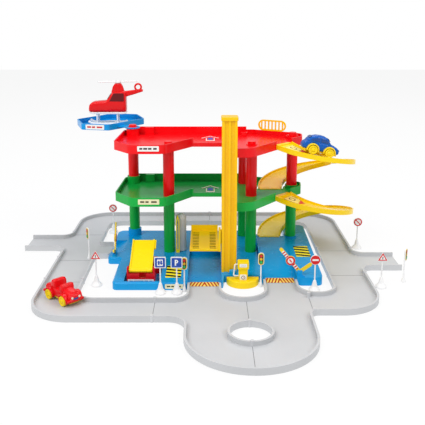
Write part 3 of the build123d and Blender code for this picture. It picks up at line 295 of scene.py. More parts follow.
def rounded(width, height, radius=1.5):
    """Outline of a rectangle whose corners are quarter circles of five points."""
    turn = np.linspace(0, np.pi / 2, 5)
    bend = np.stack([np.cos(turn), np.sin(turn)], axis=1) * radius
    corners = []
    for quarter, (sx, sy) in enumerate(((1, 1), (-1, 1), (-1, -1), (1, -1))):
        angle = quarter * np.pi / 2
        rotated = bend @ np.array([[np.cos(angle), np.sin(angle)], [-np.sin(angle), np.cos(angle)]])
        corners.append(rotated + (sx * (width / 2 - radius), sy * (height / 2 - radius)))
    return np.vstack(corners)


def disc(radius):
    """Outline of a circle of forty points."""
    turn = np.linspace(0, 2 * np.pi, 40, endpoint=False)
    return np.stack([np.cos(turn), np.sin(turn)], axis=1) * radius


EAST, NORTH, UP = (1, 0, 0), (0, 1, 0), (0, 0, 1)
seam_shade = moulded("seam_shade", (0.17, 0.17, 0.18), roughness=0.7, coat=0.0)
LANE = 81
SEAMS = [  # the joints between the road pieces show as thin dark lines: middle, length, direction
    ((73.5, -312), 106, NORTH), ((73.5, -504), 90, NORTH), ((-125, -304), LANE, NORTH),
    ((212, -277), 72, NORTH), ((-345, -150), LANE, EAST), ((-345, -10), LANE, EAST),
    ((-345, 190), LANE, EAST), ((321, -110), LANE, EAST), ((321, 60), LANE, EAST),
    ((-240, 334), LANE, NORTH), ((-5, 334), LANE, NORTH), ((225, 334), LANE, NORTH),
]
for number, ((x, y), length, along) in enumerate(SEAMS):
    across = (-along[1], along[0], 0)
    plate(f"road_seam_{number}", rounded(length, SEAM_WIDTH, 0.4), (x, y, ROAD_FLOOR), along, across,
          seam_shade, "garage", SEAM_THICKNESS)
drive_film = printed("drive_stripes", STRIPE_BROWN, STRIPE_CREAM, chevrons(9, 0.9))
warning_film = printed("warning_stripes", STRIPE_BLACK, STRIPE_YELLOW, stripes(4.0, 0.5))
plate("drive_stripes_lift", rounded(68, 25), (-18, -163, ROAD_FLOOR), EAST, NORTH, drive_film, "garage")
plate("drive_stripes_slope", rounded(66, 22), (158.5, -144, 5.6), EAST, (0, 232, 31), drive_film, "garage")
plate("warning_stripes_left", rounded(36, 74), (-91, -120, 18), EAST, NORTH, warning_film, "garage")
plate("warning_stripes_right", rounded(36, 70), (228, -5, 26.4), EAST, (0, 350, 14), warning_film, "garage")

# ---------------------------------------------------------------- decks, posts and caps
# A green and a red deck, each one moulding with a rim all round, stand on hollow round posts.
# Pegs on the posts go through the decks, and red caps close the posts on the top deck.
DECK_GREEN, DECK_GREEN_DEEP = (0.004, 0.44, 0.060), (0.004, 0.39, 0.050)
DECK_RED, DECK_RED_DEEP = (0.88, 0.002, 0.006), (0.82, 0.002, 0.005)
GREEN_FLOOR, RED_FLOOR = 166, 297
MARK_X, MARK_STEP = -4, 0.4
PRINT_BLUE, PRINT_RED = (0.03, 0.08, 0.42), (0.70, 0.05, 0.04)
green_plastic = moulded("green_plastic", DECK_GREEN, DECK_GREEN_DEEP, roughness=0.22, coat=0.08)
red_plastic = moulded("red_plastic", DECK_RED, DECK_RED_DEEP, roughness=0.22, coat=0.08)
dress(green_plastic, "deck_lower", *nodes_named("post_lower"))
dress(red_plastic, "deck_upper", "post_caps", *nodes_named("post_upper"))


def bars(edges):
    """Printed dashes in one row, at the given starts and ends along the label's width."""
    def pattern(maths, u, v):
        row = maths("LESS_THAN", maths("ABSOLUTE", maths("SUBTRACT", v, 0.5)), 0.17)
        total = None
        for start, end in edges:
            dash = maths("MULTIPLY", maths("GREATER_THAN", u, start), maths("LESS_THAN", u, end))
            total = dash if total is None else maths("ADD", total, dash)
        return maths("MULTIPLY", row, total)
    return pattern


label_dark = printed("label_dark", (0.05, 0.03, 0.03), PAPER_WHITE,
                     bars([(0.1, 0.24), (0.28, 0.46), (0.5, 0.66), (0.74, 0.9)]))
label_cream = printed("label_cream", (0.10, 0.09, 0.04), (0.86, 0.84, 0.55),
                      bars([(0.1, 0.3), (0.35, 0.5), (0.62, 0.88)]))
label_outline = rounded(52, 13)
plate("label_red_deck", label_outline, (-153.5, -46, 300), EAST, UP, label_dark, "garage")
plate("label_green_deck", label_outline, (-154.5, -46, 168), EAST, UP, label_cream, "garage")
plate("label_base", rounded(41, 11), (-87.5, -187, 9), EAST, UP, label_cream, "garage")
ink_white = printed("ink_white", PAPER_WHITE, PAPER_WHITE, stripes(1, 0))
ink_blue = printed("ink_blue", PRINT_BLUE, (0.05, 0.11, 0.5), stripes(2, 0.3))
ink_red = printed("ink_red", PRINT_RED, (0.75, 0.08, 0.05), stripes(2, 0.3))
arrow = np.array([(-9, -26), (9, -26), (9, 4), (19, 4), (0, 26), (-19, 4), (-9, 4)])
for deck, mark_y, floor, plastic in (
    ("red", 106, RED_FLOOR, red_plastic), ("green", 88, GREEN_FLOOR, green_plastic),
):
    for layer, (name, outline, back, film) in enumerate((
        ("mark_white", arrow * 1.25, 0, ink_white), ("mark_deck", arrow, 0.5, plastic),
        ("mark_blue", rounded(13, 26), 8, ink_blue),
    )):
        middle = (MARK_X, mark_y - back, floor + layer * MARK_STEP)
        plate(f"{name}_{deck}", outline, middle, EAST, NORTH, film, "garage")

# ---------------------------------------------------------------- winding ramps and guard rail
# Two yellow helical ramps, each moulded in one piece with a kerb on both sides.
# A small grille is clipped on the rear rim of the top deck, where cars turn on to the ramp.
RAMP_YELLOW, RAMP_DEEP = (0.97, 0.68, 0.002), (0.95, 0.63, 0.002)
DECK_STEP, RAMP_START, RAMP_TURN, RAMP_RADIUS = 131, 225, 315, 94
RAMP_MIDDLE, RAMP_DROP, FILM_LIFT = (247, 90), DECK_STEP / RAMP_TURN, 0.15
ramp_plastic = moulded("ramp_plastic", RAMP_YELLOW, RAMP_DEEP, roughness=0.24, coat=0.08)
dress(ramp_plastic, "ramp_upper", "ramp_lower", "guard_rail")


def grid(name, points, material, body, wrap=False, capped=False):
    """A surface from a grid of points: each cell is a face, the second direction may close on
    itself, and a closed tube may have its two ends capped."""
    rows, columns = points.shape[:2]
    number = np.arange(rows * columns).reshape(rows, columns)
    ahead = np.roll(number, -1, axis=1)
    here, there = (number, ahead) if wrap else (number[:, :-1], ahead[:, :-1])
    faces = np.stack([here[:-1], there[:-1], there[1:], here[1:]], axis=-1).reshape(-1, 4).tolist()
    if capped:
        faces += [tuple(number[0, ::-1]), tuple(number[-1])]
    u, v = np.meshgrid(np.linspace(0, 1, rows), np.linspace(0, 1, columns), indexing="ij")
    chart = np.stack([u, v], axis=-1).reshape(-1, 2)
    return place_mesh(name, points.reshape(-1, 3), faces, chart, material, body, True)


def ring_mark(maths, u, v):
    """A ring beside the middle and a line along each long edge, from the distance to its centre."""
    side = maths("MULTIPLY", maths("SUBTRACT", v, 0.5), 1.5)
    far = maths("MULTIPLY", maths("SUBTRACT", u, 0.42), 1.2)
    reach = maths("SQRT", maths("ADD", maths("MULTIPLY", side, side), maths("MULTIPLY", far, far)))
    ring = maths("MULTIPLY", maths("GREATER_THAN", reach, 0.24), maths("LESS_THAN", reach, 0.34))
    return maths("MAXIMUM", ring, maths("GREATER_THAN", maths("ABSOLUTE", maths("SUBTRACT", v, 0.5)), 0.45))


def film_on_ramp(name, top, turn_from, turn_to, inner, outer, material, taper=0.0):
    """A sticker on a helical ramp: angle and radius are the two parameters, the height falls
    evenly with the angle from the deck, and the taper narrows it towards its lower end."""
    turns, reaches = np.linspace(turn_from, turn_to, 12), np.linspace(inner, outer, 6)
    turn, reach = np.meshgrid(turns, reaches, indexing="ij")
    narrow = 1 - taper * (turn - turn_from) / (turn_to - turn_from)
    reach = (inner + outer) / 2 + (reach - (inner + outer) / 2) * narrow
    angle = np.radians(RAMP_START + turn)
    points = np.stack([
        RAMP_MIDDLE[0] + reach * np.cos(angle), RAMP_MIDDLE[1] + reach * np.sin(angle),
        top - RAMP_DROP * turn + FILM_LIFT,
    ], axis=-1)
    film = grid(name, points, material, "garage")
    thick = film.modifiers.new("film", "SOLIDIFY")
    thick.thickness, thick.offset = THIN_FILM * MM, 1


ramp_mark = printed("ramp_mark", (0.14, 0.05, 0.04), (0.95, 0.80, 0.22), ring_mark)
for level, top in (("upper", RED_FLOOR), ("lower", GREEN_FLOOR)):
    film_on_ramp(f"ramp_label_{level}", top, 8, 27, 74, 112, ramp_mark)
    film_on_ramp(f"ramp_arrow_{level}", top, 28, 36, 76, 110, ink_red, taper=0.96)

# ---------------------------------------------------------------- lift
# An orange-yellow tower with a deep slot stands beside the lift bay. A carriage runs in the slot
# and carries a slotted yellow platform, pushed up and down by hand.
TOWER_ORANGE, TOWER_DEEP = (0.93, 0.55, 0.003), (0.90, 0.50, 0.003)
LIFT_YELLOW, LIFT_DEEP = (0.95, 0.66, 0.005), (0.91, 0.59, 0.005)
dress(moulded("tower_plastic", TOWER_ORANGE, TOWER_DEEP, roughness=0.26), "lift_tower", "lift_tower_cap")
# painted shade: a dark colour is mixed into the platform's plastic on the walls of its slots, where shade
# falls in them
SLOT_PAINTED_SHADE, SLOT_SHADE_STRENGTH, PLATFORM_X = (0.10, 0.055, 0.002), 0.9, -0.019
SLOT_X, SLOT_Y, SLOT_Z = (0.0125, 0.0285), (-0.1172, 0.026), (0.0682, 0.0718)  # metres; X is from the middle
dress(moulded("lift_plastic", LIFT_YELLOW, LIFT_DEEP, roughness=0.3), "lift_carriage")
platform_plastic_and_painted_shade = moulded("platform_plastic_and_painted_shade", LIFT_YELLOW, LIFT_DEEP, roughness=0.3)
nodes, links = platform_plastic_and_painted_shade.node_tree.nodes, platform_plastic_and_painted_shade.node_tree.links
place, split = nodes.new("ShaderNodeTexCoord"), nodes.new("ShaderNodeSeparateXYZ")
links.new(place.outputs["Object"], split.inputs[0])
off_middle = nodes.new("ShaderNodeMath")
off_middle.operation = "ADD"
off_middle.inputs[1].default_value = -PLATFORM_X
links.new(split.outputs["X"], off_middle.inputs[0])
off_side = nodes.new("ShaderNodeMath")
off_side.operation = "ABSOLUTE"
links.new(off_middle.outputs[0], off_side.inputs[0])
# painted shade: the mask below picks out the walls of the slots, which are darkened to stand for their shade
inside = None  # the walls of the slots are darker: a band in each direction, multiplied together
for source, operation, limit in (
    (off_side.outputs[0], "GREATER_THAN", SLOT_X[0]), (off_side.outputs[0], "LESS_THAN", SLOT_X[1]),
    (split.outputs["Y"], "GREATER_THAN", SLOT_Y[0]), (split.outputs["Y"], "LESS_THAN", SLOT_Y[1]),
    (split.outputs["Z"], "GREATER_THAN", SLOT_Z[0]), (split.outputs["Z"], "LESS_THAN", SLOT_Z[1]),
):
    test, both = nodes.new("ShaderNodeMath"), nodes.new("ShaderNodeMath")
    test.operation, both.operation = operation, "MULTIPLY"
    test.inputs[1].default_value = limit
    links.new(source, test.inputs[0])
    links.new(test.outputs[0], both.inputs[0])
    if inside is None:
        both.inputs[1].default_value = SLOT_SHADE_STRENGTH
    else:
        links.new(inside, both.inputs[1])
    inside = both.outputs[0]
shader = nodes["Principled BSDF"]
shaded = nodes.new("ShaderNodeMix")
shaded.data_type = "RGBA"
shaded.inputs["B"].default_value = (*SLOT_PAINTED_SHADE, 1)
links.new(shader.inputs["Base Color"].links[0].from_socket, shaded.inputs["A"])
links.new(inside, shaded.inputs["Factor"])
links.new(shaded.outputs["Result"], shader.inputs["Base Color"])
dress(platform_plastic_and_painted_shade, "lift_platform")

# ---------------------------------------------------------------- helicopter pad
# A blue six-sided tray hooked over the rear corner of the top deck.
# A white ring round an H is printed on its floor, and a white label is stuck on its front.
PAD_BLUE, PAD_DEEP = (0.003, 0.31, 0.74), (0.003, 0.27, 0.69)
PAD_FLOOR, PAD_MIDDLE = 314, (-284, 250)
pad_plastic = moulded("pad_plastic", PAD_BLUE, PAD_DEEP, roughness=0.22, coat=0.08)
dress(pad_plastic, "helipad")
plate("pad_disc", disc(52), (*PAD_MIDDLE, PAD_FLOOR), EAST, NORTH, ink_white, "garage")
plate("pad_disc_inside", disc(43), (*PAD_MIDDLE, PAD_FLOOR + STICKER_THICKNESS), EAST, NORTH, pad_plastic,
      "garage")
for bar_x, width, height in ((-17, 8, 48), (17, 8, 48), (0, 30, 8)):
    middle = (PAD_MIDDLE[0] + bar_x, PAD_MIDDLE[1], PAD_FLOOR + 2 * STICKER_THICKNESS)
    plate(f"pad_bar_{bar_x + 20}", rounded(width, height), middle, EAST, NORTH, ink_white, "garage")
label_red = printed("label_red", (0.62, 0.04, 0.04), PAPER_WHITE,
                    bars([(0.08, 0.3), (0.34, 0.52), (0.6, 0.9)]))
plate("label_pad", label_outline, (-313, 153.7, 319), (76, -15, 0), UP, label_red, "garage")

# ---------------------------------------------------------------- helicopter
# A loose red helicopter: a hollow moulded cabin with a mast and a looped tail fin, pressed on a
# white undercarriage with skids, under a white rotor with two looped blades.
HELI_RED, HELI_DEEP = (0.78, 0.006, 0.008), (0.68, 0.005, 0.007)
# painted shade: the very dark red of the panes stands for the shade on the upper cabin, whose moulding is red
HELI_WHITE, CABIN_SHADE_RED = (0.88, 0.88, 0.88), (0.13, 0.003, 0.005)
HELI_SHIFT, ROTOR_MIDDLE = (8, 230), (-257, 230)  # the shift is added to the body's own measures
HULL_ROWS, HULL_SIDES = 56, 40
FIN_X, FIN_HEIGHT, FIN_RADIUS, FIN_ROD = -211, 418.5, 8.6, 2.6
LEG_FOOT, LEG_RISE = 317, 30
FLANK_Y, SKID_Y, SKID_HEIGHT, SKID_RADIUS, LEG_RADIUS = 19.6, 17, 318.6, 3.6, 2.2
BLADE_HEIGHT, BLADE_RADIUS, ROD_SIDES = 433.4, 1.7, 12
heli_plastic = moulded("heli_plastic", HELI_RED, HELI_DEEP, roughness=0.22, coat=0.08)
white_plastic = moulded("white_plastic", HELI_WHITE, (0.78, 0.78, 0.79), roughness=0.3)
cabin_shade_plastic = moulded("cabin_shade_plastic", CABIN_SHADE_RED, roughness=0.3, coat=0.15)


def hull(name, stations, bottom, top, half_width, material, body, middle=(0, 0), power=3.0, place=None):
    """A rounded body: at each station along X the section is a superellipse, whose height and
    width are read from the bottom, top and half-width lines and whose power sets its squareness."""
    stations = np.asarray(stations, dtype=float)
    x = np.linspace(stations[0], stations[-1], HULL_ROWS)
    low, high, wide = (np.interp(x, stations, line) for line in (bottom, top, half_width))
    turn = np.linspace(0, 2 * np.pi, HULL_SIDES, endpoint=False)
    cos, sin = np.cos(turn), np.sin(turn)
    y = wide[:, None] * np.sign(cos) * np.abs(cos) ** (2 / power)
    z = (low + high)[:, None] / 2 + (high - low)[:, None] / 2 * np.sign(sin) * np.abs(sin) ** (2 / power)
    points = np.stack([np.broadcast_to(x[:, None], y.shape), y, z], axis=-1)
    points = points + (middle[0], middle[1], 0)
    if place is not None:
        points = place(points)
    return grid(name, points, material, body, wrap=True, capped=True)


def tube(name, path, radius, material, body, flat=1.0, closed=False):
    """A rod: a circle, flattened upright if asked, is carried along the path square to it."""
    path = np.asarray(path, dtype=float)
    ahead = np.roll(path, -1, axis=0) - np.roll(path, 1, axis=0)
    if not closed:
        ahead[0], ahead[-1] = path[1] - path[0], path[-1] - path[-2]
    ahead = ahead / np.linalg.norm(ahead, axis=1, keepdims=True)
    upright_path = np.ptp(path[:, 1]) < 1e-6
    side = np.cross(ahead, (0, 1.0, 0) if upright_path else (0, 0, 1.0))
    side = side / np.linalg.norm(side, axis=1, keepdims=True)
    over = np.cross(ahead, side)
    turn = np.linspace(0, 2 * np.pi, ROD_SIDES, endpoint=False)[:, None]
    ring = side[:, None] * np.cos(turn) * radius + over[:, None] * np.sin(turn) * radius * flat
    points = path[:, None] + ring
    if closed:
        points = np.concatenate([points, points[:1]])
    return grid(name, points, material, body, wrap=True, capped=not closed)


def arc(middle, radius, start, end, steps=24):
    """Points along a circle in the plane of X and Z, from its cosine and sine."""
    turn = np.radians(np.linspace(start, end, steps))
    return np.asarray(middle) + np.stack([radius * np.cos(turn), 0 * turn, radius * np.sin(turn)], axis=1)


cabin = hull(
    "heli_cabin", (-347, -345, -340, -333, -318, -300, -293, -284, -279, -272, -252, -247, -244.5),
    (353, 352, 351.3, 351, 351, 351, 351, 351, 351, 351, 351, 351.5, 353),
    (362, 371, 376, 379, 380.5, 382, 388, 402, 405.5, 407, 408, 407, 404),
    (12, 16.5, 18.6, 19.4, 19.8, 20, 20, 19.9, 19.8, 19.6, 19, 18.4, 16.5),
    heli_plastic, "helicopter", middle=HELI_SHIFT, power=5.5,
)
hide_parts("helicopter_body")
hull("heli_mast", (-284, -280, -274, -258, -253, -249), (398, 396, 396, 396, 396, 398),
     (408, 421, 429, 429, 421, 408), (5.5, 6.6, 7, 7, 6.6, 5.5), heli_plastic, "helicopter",
     middle=HELI_SHIFT, power=5)
hull("heli_boom", (-252, -244, -220, -203, -198), (390, 392, 399, 404.5, 406), (407.5, 408, 411, 413, 412),
     (8, 7.5, 5.5, 4.5, 3.2), heli_plastic, "helicopter", middle=HELI_SHIFT, power=4)
fin_loop = arc((FIN_X + HELI_SHIFT[0], HELI_SHIFT[1], FIN_HEIGHT), FIN_RADIUS, 0, 345)
tube("heli_fin", fin_loop, FIN_ROD, heli_plastic, "helicopter", closed=True)
# painted shade: dark red plates shaped as side panes and a windscreen stand for the shade on the upper cabin
for side_y, flank in ((-1, "left"), (1, "right")):
    pane = np.array([(-23, -10), (17, -10), (17, 12), (-10.5, 12)])
    pane = pane if side_y < 0 else (pane * (-1, 1))[::-1]
    middle = (-266 + HELI_SHIFT[0], HELI_SHIFT[1] + side_y * FLANK_Y, 391)
    plate(f"heli_shade_pane_{flank}", pane, middle, (-side_y, 0, 0), UP, cabin_shade_plastic, "helicopter", thickness=0.6)
plate("heli_windscreen_shade", rounded(27, 19, 4), (-290.5 + HELI_SHIFT[0], HELI_SHIFT[1], 393.5), (0, -1, 0),
      (15, 0, 23), cabin_shade_plastic, "helicopter", thickness=0.5)

under = hull(
    "heli_under", (-346, -343, -336, -300, -250, -245, -243), (349, 346.5, 345, 345, 345, 346, 349),
    (351,) * 7, (12, 17, 19, 19.4, 19, 18, 14), white_plastic, "helicopter", middle=HELI_SHIFT, power=6,
)
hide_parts("helicopter_undercarriage")
for side_y, flank in ((-SKID_Y, "near"), (SKID_Y, "far")):
    along = np.linspace(-348, -244, 40)  # the tips curl up, as the square of the way past the legs
    rise = 7 * np.clip((-330 - along) / 18, 0, 1) ** 2 + 3 * np.clip((along + 256) / 12, 0, 1) ** 2
    skid = np.stack([along + HELI_SHIFT[0], np.full(40, HELI_SHIFT[1] + side_y), SKID_HEIGHT + rise], axis=1)
    tube(f"heli_skid_{flank}", skid, SKID_RADIUS, white_plastic, "helicopter")
    for leg, leg_x in enumerate((-324, -268)):
        share = np.linspace(0, 1, 12)
        lean = HELI_SHIFT[1] + side_y * (1 - 0.12 * share)
        strut = np.stack([np.full(12, leg_x + HELI_SHIFT[0]), lean, LEG_FOOT + LEG_RISE * share], axis=1)
        tube(f"heli_leg_{flank}_{leg}", strut, LEG_RADIUS, white_plastic, "helicopter")


def turned(name, profile, middle, material, body, columns=40, ribs=0, rib_depth=0.0, lying=False, place=None):
    """A turned piece: the profile of (radius, height) pairs is carried round an axis, and fine
    ribs may ripple its outer radius by a cosine. The axis is upright, or lies along Y for wheels."""
    profile = np.asarray(profile, dtype=float)
    turn = np.linspace(0, 2 * np.pi, columns, endpoint=False)
    outer = profile[:, :1] > 0.6 * profile[:, 0].max()
    radius = profile[:, :1] * (1 + rib_depth * np.cos(ribs * turn) * outer)
    x, y = radius * np.cos(turn), radius * np.sin(turn)
    z = np.broadcast_to(profile[:, 1:], x.shape)
    points = np.stack([y, z, x] if lying else [x, y, z], axis=-1)
    points = points + np.asarray(middle)
    if place is not None:
        points = place(points)
    return grid(name, points, material, body, wrap=True, capped=True)


hub = turned(
    "rotor_hub", [(2.4, 415), (2.4, 429.2), (6.6, 429.6), (7, 430.2), (7, 435), (5.8, 436.6), (2, 437)],
    (*ROTOR_MIDDLE, 0), white_plastic, "rotor",
)
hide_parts("helicopter_rotor")
for blade, turn in enumerate((8, 188)):
    out = np.array([math.cos(math.radians(turn)), math.sin(math.radians(turn)), 0])
    across = np.array([-out[1], out[0], 0])
    sweep = np.linspace(0, 2 * np.pi, 60, endpoint=False)  # clipped cosine and sine make a long loop
    u = 31.5 + 19 * np.clip(2.2 * np.cos(sweep), -1, 1) + 5.5 * np.cos(sweep)
    v = 5.6 * np.clip(1.6 * np.sin(sweep), -1, 1)
    loop = np.array([*ROTOR_MIDDLE, BLADE_HEIGHT]) + u[:, None] * out + v[:, None] * across
    tube(f"rotor_blade_{blade}", loop, BLADE_RADIUS, white_plastic, "rotor", flat=0.8, closed=True)

# ---------------------------------------------------------------- service bay
# A red tray stands in the left bay and carries a tilting yellow plate on a cross pin.
# A white printed strip is stuck on its front, and a low rim on each side keeps a car on the plate.
SERVICE_RED, SERVICE_RED_DEEP = (0.70, 0.004, 0.010), (0.62, 0.003, 0.008)
SERVICE_YELLOW, SERVICE_DEEP = (0.96, 0.76, 0.006), (0.93, 0.68, 0.006)
dress(moulded("service_red", SERVICE_RED, SERVICE_RED_DEEP, roughness=0.25), "service_frame")
service_yellow = moulded("service_yellow", SERVICE_YELLOW, SERVICE_DEEP, roughness=0.24)
dress(service_yellow, "service_platform", "wash_marker")
label_blue = printed("label_blue", (0.10, 0.12, 0.35), PAPER_WHITE,
                     bars([(0.06, 0.2), (0.24, 0.6), (0.64, 0.78), (0.84, 0.94)]))
plate("label_service", rounded(60, 10.5), (-165, -165, 12), EAST, UP, label_blue, "garage")

# ---------------------------------------------------------------- car wash
# A grey ribbed roller with a domed top turns on a spindle behind the left front post.
BRUSH_GREY, BRUSH_DARK = (0.62, 0.63, 0.64), (0.55, 0.56, 0.57)
BRUSH_PLACE, BRUSH_RADIUS, BORE_RADIUS, DOME_FROM = (-79, 30, 0), 13.2, 4.08, 103.8
RING_FROM, RING_PITCH, RING_DEPTH = 24, 2.6, 0.5
brush_plastic = moulded("brush_plastic", BRUSH_GREY, BRUSH_DARK, roughness=0.5, coat=0.05, grain=900,
                        grain_depth=0.0002)
foot = [(BORE_RADIUS, 34.4), (BORE_RADIUS, 18.4), (12.6, 18.4), (BRUSH_RADIUS, 19.4)]
rings = [(BRUSH_RADIUS - RING_DEPTH * (step % 2), RING_FROM + step * RING_PITCH) for step in range(30)]
dome = [(BRUSH_RADIUS * math.cos(math.radians(rise)), DOME_FROM + BRUSH_RADIUS * math.sin(math.radians(rise)))
        for rise in range(0, 88, 8)]
roller = turned("brush_roller", [*foot, *rings, *dome, (1, 117)], BRUSH_PLACE, brush_plastic, "wash_brush",
                columns=72, ribs=24, rib_depth=0.02)
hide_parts("wash_brush")

# ---------------------------------------------------------------- barriers
# Two small barriers: on a bracket's pin turns a flat yellow arm with a round disc, and with a short
# lever to press it up. White film with red stripes is stuck on both its faces, and red on the disc.
ARM_WHITE, ARM_RED, ARM_YELLOW = (0.86, 0.86, 0.84), (0.68, 0.02, 0.02), (0.93, 0.66, 0.02)
ARM_HALF = 1.5
arm_yellow = moulded("arm_yellow", ARM_YELLOW, roughness=0.24)
arm_print = printed("arm_stripes", ARM_RED, ARM_WHITE, stripes(0.001, 9))
disc_print = printed("arm_disc", ARM_RED, (0.74, 0.03, 0.03), stripes(3, 0.4))
dress(arm_yellow, "barrier_right_arm", "barrier_left_arm")
for body, pivot, along, angle in (
    ("right_barrier", (203, -150, 30), (-1, 0, 0), 51),
    ("left_barrier", (-246, -2, 25.5), (0, 1, 0), 66),
):
    along, pivot = np.array(along, dtype=float), np.array(pivot, dtype=float)
    cos, sin = math.cos(math.radians(angle)), math.sin(math.radians(angle))
    reach, rise = along * cos + np.array([0, 0, sin]), -along * sin + np.array([0, 0, cos])
    for face in (-1, 1):
        out = np.cross(reach, rise) * face
        for name, outline, way, lift, film, thickness in (
            ("stripes", rounded(56, 7, 3), 37, 0.0, arm_print, 0.3),
            ("disc", disc(10.4), 35, 0.3, disc_print, 0.4),
            ("ring", disc(6.6), 35, 0.7, ink_white, 0.3),
            ("dot", rounded(9, 3, 1), 35, 1.0, disc_print, 0.3),
        ):
            middle = pivot + out * (ARM_HALF + lift) + reach * way
            plate(f"{body}_{name}_{face + 1}", outline, middle, reach * face, rise, film, body, thickness)

# ---------------------------------------------------------------- petrol pump
# A yellow pump on a half-round yellow island, with a white panel, a dial and a white hose.
PUMP_YELLOW, PUMP_DEEP, DIAL_DARK = (0.95, 0.70, 0.005), (0.92, 0.62, 0.005), (0.05, 0.09, 0.16)
PUMP_X = 71
pump_plastic = moulded("pump_plastic", PUMP_YELLOW, PUMP_DEEP, roughness=0.24)
dress(pump_plastic, "pump_island", "pump_body")
dress(white_plastic, "pump_nozzle")
dial_ink = moulded("dial_ink", DIAL_DARK, roughness=0.2)
plate("pump_panel", rounded(15.6, 13, 2), (PUMP_X, -167.5, 23.2), EAST, UP, ink_white, "garage")
plate("pump_dial", disc(4.4), (PUMP_X, -168.7, 23), EAST, UP, dial_ink, "garage", THIN_FILM)
plate("pump_dial_face", disc(3.2), (PUMP_X, -169.0, 23), EAST, UP, ink_white, "garage", THIN_FILM)
needle_place, needle_lean = (PUMP_X + 0.4, -169.3, 23.4), (0.5, 0, 1)
plate("pump_needle", rounded(0.9, 4.4, 0.4), needle_place, EAST, needle_lean, ink_red, "garage", THIN_FILM)
plate("pump_window", rounded(17, 8), (PUMP_X, -169, 52), EAST, UP, ink_white, "garage")
plate("pump_reading", rounded(13, 3, 0.6), (PUMP_X, -169.4, 51.6), EAST, UP, label_dark, "garage", THIN_FILM)

# ---------------------------------------------------------------- road signs and traffic lights
# White moulded stands with flared feet. Printed faces are stuck on the plates: blue squares,
# red-edged round and triangular signs, and traffic lights with three lamps.
SIGN_BLUE, SIGN_RED = (0.02, 0.07, 0.38), (0.66, 0.02, 0.02)
LAMP_COLOURS = ((0.75, 0.03, 0.02), (0.9, 0.5, 0.02), (0.03, 0.5, 0.12))
PLATE_HALF, SIGN_HEIGHT, TRIANGLE_HEIGHT, LIGHT_HEIGHT = 3, 74, 72, 68
LAMP_RADIUS, LAMP_STEP = 3.1, 7.4
SQUARE_PLACES = ((-117, -204), (-80, -204))
ROUND_PLACES = ((232, -188), (-281, 222), (389, 92))
TRIANGLE_PLACES = ((-268, -160), (388, -170))
LIGHT_PLACES = ((-63.5, -194.5, 0, 0), (111.5, -166, 0, 0), (-313, 3, ROAD_FLOOR, -58), (449, -138, 0, 58))
dress(white_plastic, "square_signs", "round_signs", "triangle_signs", "traffic_lights")
sign_blue = printed("sign_blue", SIGN_BLUE, (0.03, 0.09, 0.42), stripes(2, 0.3))
sign_red = printed("sign_red", SIGN_RED, (0.70, 0.03, 0.03), stripes(2, 0.3))
sign_black = moulded("sign_black", (0.03, 0.03, 0.035), roughness=0.35)
light_case = moulded("light_case", (0.80, 0.56, 0.02), roughness=0.3)
triangle = np.array([(math.cos(math.radians(turn)), math.sin(math.radians(turn))) for turn in (90, 210, 330)])
bowl_outside, bowl_inside = arc((0, 0, 0), 1, -90, 90, 14), arc((0, 0, 0), 0.45, 90, -90, 14)
letter_bowl = np.vstack([bowl_outside, bowl_inside])[:, [0, 2]]


def sign_print(name, outline, x, y, z, ink, layer=1, along=EAST, up=UP):
    """A printed shape on a sign whose stand is at x, y. The first layer lies on the plate, the
    second on the first, and so on."""
    lift = (0, 0, STICKER_THICKNESS, STICKER_THICKNESS + THIN_FILM)[layer]
    thickness = STICKER_THICKNESS if layer == 1 else THIN_FILM
    plate(name, outline, (x, y - PLATE_HALF - lift, z), along, up, ink, "garage", thickness)


for number, (x, y) in enumerate(SQUARE_PLACES):
    sign_print(f"sign_square_{number}", rounded(22, 22), x, y, SIGN_HEIGHT, sign_blue)
    if number == 1:
        sign_print("sign_stem", rounded(3, 14, 0.3), x - 2.5, y, SIGN_HEIGHT, ink_white, 2)
        sign_print("sign_bowl", letter_bowl * (4.6, 4.2), x - 1, y, SIGN_HEIGHT + 2.8, ink_white, 2)
    else:
        sign_print("sign_lift_frame", rounded(13, 15, 1), x, y, SIGN_HEIGHT, ink_white, 2)
        sign_print("sign_lift_arrow", arrow * 0.2, x - 2.6, y, SIGN_HEIGHT, sign_blue, 3)
        sign_print("sign_lift_down", (arrow * (0.2, -0.2))[::-1], x + 2.8, y, SIGN_HEIGHT, sign_blue, 3)
for number, (x, y) in enumerate(ROUND_PLACES):
    sign_print(f"sign_round_{number}", disc(10.6), x, y, SIGN_HEIGHT, sign_red)
    if number == 0:
        sign_print("sign_bar", rounded(14, 4, 0.6), x, y, SIGN_HEIGHT, ink_white, 2)
    else:
        sign_print(f"sign_field_{number}", disc(7.6), x, y, SIGN_HEIGHT, ink_white, 2)
        sign_print(f"sign_slash_{number}", rounded(15, 2.4, 0.5), x, y, SIGN_HEIGHT, sign_red, 3,
                   along=(1, 0, -1), up=(1, 0, 1))
for number, (x, y) in enumerate(TRIANGLE_PLACES):
    sign_print(f"sign_triangle_{number}", triangle * 12.2, x, y, TRIANGLE_HEIGHT, sign_red)
    sign_print(f"sign_triangle_field_{number}", triangle * 7.4, x, y, TRIANGLE_HEIGHT, ink_white, 2)
    sign_print(f"sign_triangle_mark_{number}", rounded(1.8, 6, 0.4), x, y, TRIANGLE_HEIGHT + 0.4,
               sign_black, 3)
lamp_glass = [moulded(f"lamp_{number}", colour, roughness=0.12, coat=0.5)
              for number, colour in enumerate(LAMP_COLOURS)]
